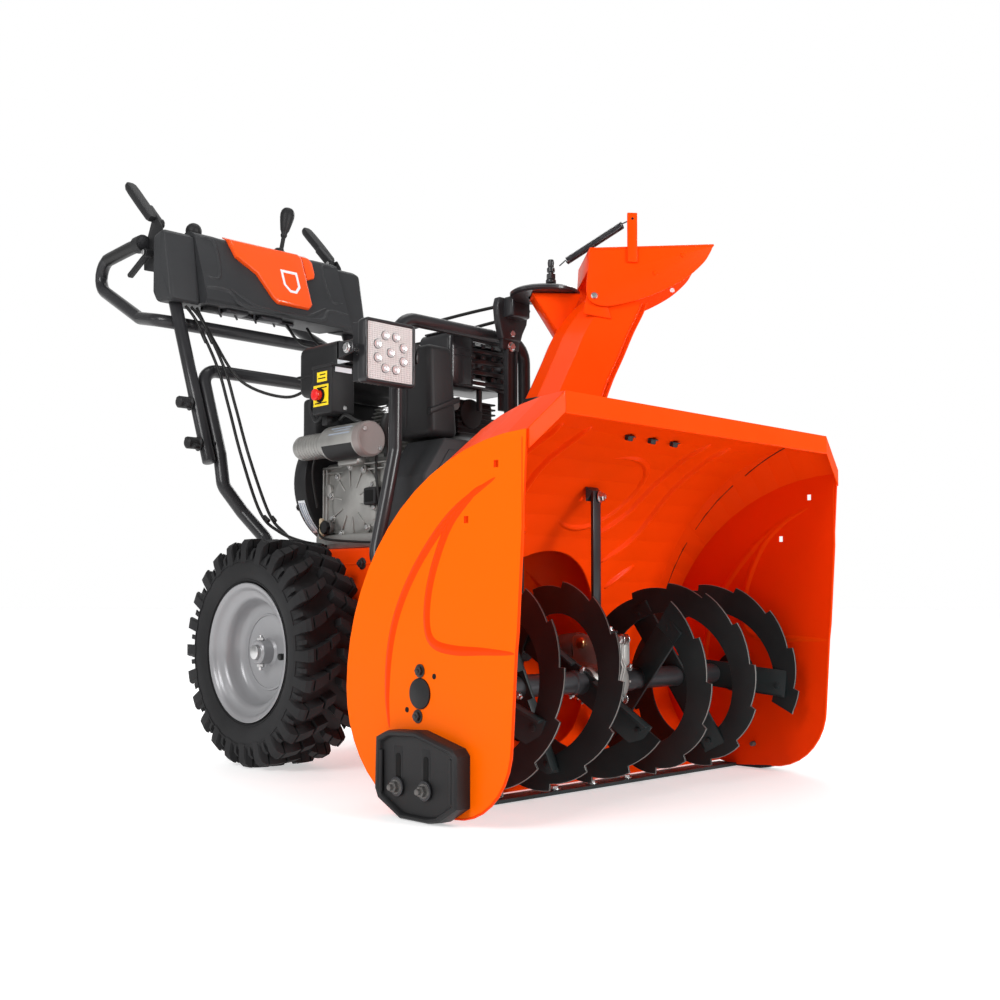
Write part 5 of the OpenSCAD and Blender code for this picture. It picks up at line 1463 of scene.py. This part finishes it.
def engine_front():
    p = Piece("electric_starter", CAST)
    p.lathe([(0, -150), (29, -150), (29.6, -148), (29.6, -60), (28, -56), (22, -52), (21.6, -46), (21.6, 28),
             (19, 33.8), (0, 33.8)],
            (-126, 0, 543), "y", 56, closed=False)
    for k in range(8):
        p.lathe([(21, -40 + k * 8), (22, -40 + k * 8), (22, -37 + k * 8), (21, -37 + k * 8)], (-126, 0, 543), "y", 40)
    p.box((-110, -80, 516), (-90, -40, 528), 3)
    p.use(TAUPE)
    p.lathe([(0, -166), (26, -166), (29, -163.6), (29.8, -160), (29.8, -149), (0, -149)], (-126, 0, 543), "y",
            56, closed=False)
    p.use(PLASTIC)
    # dark band round the lower half
    rings = []
    for y in (-146, -64):
        ring = [(-126 + 29.9 * math.cos(t), y,
                 543 + 29.9 * math.sin(t)) for t in [math.pi * (1.08 + 0.84 * k / 16) for k in range(17)]]
        ring += [(-126 + 29.2 * math.cos(t), y,
                  543 + 29.2 * math.sin(t)) for t in [math.pi * (1.92 - 0.84 * k / 16) for k in range(17)]]
        rings.append(ring)
    p.loft(rings, sharp=40)
    p.use(BLUE_GREY)
    for y0, y1, t0, t1 in ((-140, -84, 0.74, 0.77), (-140, -96, 0.81, 0.83), (-140, -84, 0.87, 0.9)):
        rings = []
        for y in (y0, y1):
            ring = [(-126 + 29.95 * math.cos(math.pi * t), y, 543 + 29.95 * math.sin(math.pi * t)) for t in (t0, t1)]
            ring += [(-126 + 29.3 * math.cos(math.pi * t), y, 543 + 29.3 * math.sin(math.pi * t)) for t in (t1, t0)]
            rings.append(ring)
        p.loft(rings)
    p.use(ZINC)
    for x, z in ((-142, 558), (-110, 528)):
        p.bolt((x, -165.8, z), (0, -1, 0), 4, 2.6, False)
    p.done("machine", ["starter_motor"])

    s = Piece("starter_switch", PLASTIC)
    s.box((-157.6, -95.6, 590.4), (-108.4, -40.4, 671.6), 4, 3)
    s.box((-159, -98, 668), (-106, -40, 674), 2, 2)
    s.box((-140, -60, 574), (-112, -44, 592), 3)
    loop = rounded([(-136, -40, 664), (-136, -14, 650), (-136, -6, 606), (-136, -24, 580), (-136, -42, 592)], 12, 5)
    s.tube(loop, 3.6, 12)
    s.use(YELLOW)
    s.box((-158.4, -88, 604), (-157.4, -46, 640), 0.3, 1)
    s.box((-158.4, -84, 645), (-157.4, -56, 662), 0.3, 1)
    s.use(HOLE_SHADE_SEAM_PRINT_BLACK)
    for z0, z1, y0, y1 in ((608, 610, -84, -50), (634, 636, -84, -56), (650, 652, -80, -60), (656, 658, -80, -64)):
        s.box((-158.6, y0, z0), (-158.3, y1, z1))
    s.lathe([(8.7, -156), (12, -156), (12, -160), (10.6, -161), (8.7, -161)], (0, -66, 622), "x", 32)
    s.use(WHITE)
    s.box((-150, -97, 660), (-116, -96, 672), 0.2, 1)
    s.use(ZINC)
    s.bolt((-130, -95.6, 600), (0, -1, 0), 4, 2.6, False)
    s.done("machine", ["switch_box"])
    b = Piece("starter_button", RED)
    b.lathe([(0, -171.9), (7, -171.9), (9.6, -171), (10, -169.6), (9.8, -168), (8.2, -167.9), (8.2, -146.4),
             (0, -146.4)],
            (0, -66, 622), "x", 36, closed=False)
    b.done("start_button", ["start_button"])

    a = Piece("air_cleaner", PLASTIC)
    a.add([(-70, -248, 546), (-8, -248, 546), (-5, -141.5, 546), (-73.5, -141.5, 546), (-68, -240, 699),
           (-13, -240, 699),
           (-6, -141.5, 699.5), (-71, -141.5, 699.5)],
          [(0, 1, 2, 3), (7, 6, 5, 4), (0, 4, 5, 1), (1, 5, 6, 2), (2, 6, 7, 3), (3, 7, 4, 0)], 11, 4)
    a.box((-73, -190, 560), (-5, -184, 694), 2, 2)
    # clip bar across the lower half
    a.add([(-71, -249.6, 580), (-71, -240, 580), (-6, -249.6, 606), (-6, -240, 606), (-71, -249.6, 590),
           (-71, -240, 590),
           (-6, -249.6, 616), (-6, -240, 616)],
          [(0, 1, 3, 2), (4, 6, 7, 5), (0, 4, 5, 1), (2, 3, 7, 6), (0, 2, 6, 4), (1, 5, 7, 3)], 2, 2)
    a.box((-72, -212, 686), (-6, -206, 699.6), 2, 2)
    a.use(WHITE)
    a.box((-70.4, -182, 640), (-66, -146, 676), 0.4, 1)
    a.box((-128, -118, 678), (-127, -72, 706), 0.4, 1)
    a.use(ORANGE)
    a.box((-70.9, -182, 668), (-70.2, -146, 676), 0.2, 1)
    a.use(HOLE_SHADE_SEAM_PRINT_BLACK)
    for z in (646, 652, 658):
        a.box((-70.8, -160, z), (-70.2, -150, z + 2))
    a.cyl((-70.8, -174, 654), (-70.2, -174, 654), 5, 6)
    a.use(PLASTIC)
    a.box((-127, -122, 676), (-84, -66, 718), 8, 3)
    a.use(HOSE)
    a.tube(spline([(-72, -158, 612), (-84, -156, 590), (-88, -150, 560), (-76, -146, 528)], 5), 8.5, 18)
    a.tube(spline([(-118, -70, 590), (-130, -84, 582), (-138, -110, 586), (-134, -130, 576), (-128, -140, 572)],
                  6), 3.2, 10)
    a.use(ZINC)
    a.lathe([(8.6, 589), (9.9, 589), (9.9, 599), (8.6, 599)], (-83, -156, 0), "z", 28)
    a.cyl((-94, -160, 594), (-94, -150, 594), 3, 10, 0.4)
    a.use(BEIGE)
    a.box((-104, 4, 384), (-97, 12, 420), 2, 2)
    a.done("machine", ["air_box"])

    m = Piece("exhaust_guard", BLACK_PAINT)
    gx, gz = 80, 688
    corner = [(gx, 640.4, 0), (0.4, 640.4, 0), (0.4, 737.6, 0), (159.6, 737.6, 0), (159.6, 640.4, 0), (gx, 640.4, 0)]
    outline = [(v.x, v.y) for v in rounded(corner, 16, 6)][:-1]
    rings = []
    for y, k in ((-138, 1.0), (-208, 1.0), (-214, 0.985), (-217, 0.95), (-217.6, 0.9), (-214.6, 0.88), (-208, 0.94),
                 (-138.2, 0.96)):
        rings.append([(gx + (x - gx) * k, y, gz + (z - gz) * k) for x, z in outline])
    m.loft(rings, sharp=40, loop=True)
    # plain half towards the air cleaner, louvred half over the exhaust
    m.box((6, -217, 646), (50, -213, 732), 2, 2)
    m.box((10, -217.8, 704), (46, -214, 708), 1, 1)
    m.box((10, -217.8, 692), (46, -214, 696), 1, 1)
    for k in range(9):
        z = 648 + k * 9.4
        if k % 2 == 0:
            m.box((50, -216.6, z), (152, -213.6, z + 7), 1)
        else:
            for x in range(50, 150, 24):
                m.box((x, -216.6, z), (x + 9, -213.6, z + 7), 0.8)
    for x in (48, 148):
        m.box((x, -216, 646), (x + 6, -213, 732), 0.8)
    # toothed crest and mesh on the top
    for x in range(4, 60, 9):
        m.box((x, -214, 735), (x + 5, -146, 737.8), 0.5, 1)
    for x in range(66, 158, 9):
        m.box((x, -208, 734.6), (x + 4, -142, 737.4), 0.5, 1)
    for y in range(-206, -142, 10):
        m.box((60, y, 734.8), (156, y + 4, 737.2), 0.5, 1)
    # brackets and heat plate below
    m.box((70, -214, 604), (78, -206, 646), 1.5, 2)
    m.box((120, -214, 610), (150, -208, 648), 1.5, 2)
    m.done("machine", ["muffler_guard"])
    e = Piece("exhaust_can", DARK_STEEL)
    e.lathe([(0, 40), (24, 40), (29, 43), (30, 48), (30, 130), (29, 135), (24, 138), (14, 138), (14, 144), (11, 144),
             (11, 138), (0, 138)], (0, -178, 696), "x", 48, closed=False)
    e.done("machine", ["muffler"])
    w = Piece("engine_wires", HOSE)
    for path in ([(-104, -150, 520), (-112, -160, 480), (-110, -168, 430), (-104, -172, 380)],
                 [(-80, -172, 540), (-96, -178, 500), (-108, -170, 452)],
                 [(-116, -44, 580), (-120, -10, 540), (-112, 20, 500), (-100, 22, 440)],
                 [(60, -60, 640), (40, -80, 632), (0, -110, 640), (-40, -130, 620)],
                 [(-100, 20, 400), (-108, -10, 384), (-108, -90, 376), (-108, -170, 372)]):
        w.tube(spline(path, 6), 2.2, 8)
    w.use(ZINC)
    w.tube(spline([(-86, -150, 548), (-60, -158, 560), (-20, -160, 552), (20, -160, 560)], 6), 1.3, 8)
    w.done("machine")


CABLES = [
    [(-190, 328, 838), (-172, 314, 806), (-158, 264, 716), (-152, 234, 640), (-150, 190, 540), (-128, 160, 437),
     (-120, 110, 400), (-118, 40, 380), (-118, -20, 372)],
    [(-178, 328, 838), (-160, 312, 806), (-146, 260, 716), (-138, 232, 640), (-136, 186, 540), (-114, 154, 437),
     (-102, 122, 400), (-98, 70, 373), (-104, -10, 371)],
    [(40, 328, 838), (56, 280, 790), (70, 110, 772), (60, -60, 774), (66, -180, 778), (69, -272, 778)],
    [(90, 328, 838), (96, 270, 790), (96, 90, 760), (90, -80, 752), (84, -190, 756), (85, -272, 758)],
    [(-166, 328, 838), (-146, 300, 776), (-120, 240, 690), (-60, 180, 660), (-40, 124, 680), (-50, 95, 700)],
]


def cables():
    """Each cable bends where the handle folds: below the clamps it stays with the machine."""
    for i, route in enumerate(CABLES):
        p = Piece("cable_%d" % i, HOSE)
        p.tube(spline(route, 8), 2.9, 12)
        if i < 2:
            for j in (1, 5):
                q, r = Vector(route[j]), Vector(route[j + 1])
                p.cyl(q + (r - q) * 0.2, q + (r - q) * 0.45, 3.9, 12, 0.8)
        obj = p.done(None, ["control_cables"])
        start = P(*route[-2]) if i in (2, 3) else P(route[3][0], 150, 480)
        end = P(*route[1]) if i in (2, 3, 4) else P(route[1][0], 300, 790)
        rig.blend(obj, "machine", "handle", start, end)


chassis()
crankcase()
shroud()
engine_front()
cables()


# ---------------------------------------------------------------- stage

def area(name, at, look, size, power, color=(1, 1, 1), size_y=None):
    """Soft rectangular lamp at a point, aimed at another."""
    lamp = bpy.data.lights.new(name, "AREA")
    lamp.shape = "RECTANGLE"
    lamp.size = size
    lamp.size_y = size_y or size
    lamp.energy = power
    lamp.color = color
    obj = bpy.data.objects.new(name, lamp)
    obj.location = at
    obj.rotation_euler = (Vector(look) - Vector(at)).to_track_quat("-Z", "Y").to_euler()
    bpy.context.scene.collection.objects.link(obj)


def build_stage():
    size = 30.0
    data = bpy.data.meshes.new("floor")
    verts = [(-size, -size, 0), (size, -size, 0), (size, size, 0), (-size, size, 0)]
    data.from_pydata(verts, [], [(0, 1, 2, 3)])
    data.materials.append(make_floor_material())
    floor = bpy.data.objects.new("floor", data)
    bpy.context.scene.collection.objects.link(floor)
    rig.stage(floor)
    world = bpy.data.worlds.new("studio")
    bpy.context.scene.world = world
    world.use_nodes = True
    back = world.node_tree.nodes["Background"]
    back.inputs["Color"].default_value = (1, 1, 1, 1)
    # bright backdrop behind the machine, dimmer on the side the light comes from
    way = world.node_tree.nodes.new("ShaderNodeTexCoord")
    dot = world.node_tree.nodes.new("ShaderNodeVectorMath")
    dot.operation = "DOT_PRODUCT"
    dot.inputs[1].default_value = (0.697, 0.716, 0.04)
    fade = world.node_tree.nodes.new("ShaderNodeMapRange")
    fade.interpolation_type = "SMOOTHSTEP"
    fade.inputs["From Min"].default_value = 0.3
    fade.inputs["From Max"].default_value = 0.86
    fade.inputs["To Min"].default_value = 0.3
    fade.inputs["To Max"].default_value = 1.0
    world.node_tree.links.new(way.outputs["Generated"], dot.inputs[0])
    world.node_tree.links.new(dot.outputs["Value"], fade.inputs["Value"])
    world.node_tree.links.new(fade.outputs["Result"], back.inputs["Strength"])
    area("key", (-3.0, -0.9, 2.2), (0, 0, 0.5), 1.4, 66)
    area("front", (0.6, -3.8, 1.5), (0, 0, 0.35), 1.2, 92)
    area("top", (0.5, 0.4, 3.4), (0, 0, 0.4), 1.6, 18)
    area("left", (-3.4, 1.6, 1.5), (0, 0, 0.5), 1.2, 9)
    area("rim", (2.8, 1.4, 2.2), (0, 0, 0.5), 1.0, 20)


def add_camera():
    camera = bpy.data.cameras.new("camera")
    camera.lens = 43.745
    camera.sensor_width = 36
    camera.shift_y = 0.04829
    camera.clip_end = 60
    obj = bpy.data.objects.new("camera", camera)
    obj.location = P(-1362.3, -1738.8, 278.3)
    obj.rotation_euler = (math.radians(90 + 2.402), 0, math.radians(-44.203))
    bpy.context.scene.collection.objects.link(obj)
    bpy.context.scene.camera = obj


build_stage()
add_camera()
bpy.context.scene.view_settings.view_transform = "Standard"

with open("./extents.json", "w") as out:
    def plain(bounds):
        return [[round(float(c), 6) for c in corner] for corner in bounds]
    try:
        sizes = {"cad": plain(cad_bounds), "visual": plain(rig.bounds())}
    except TypeError:
        sizes = {"cad": str(cad_bounds), "visual": str(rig.bounds())}
    json.dump(sizes, out, indent=1)
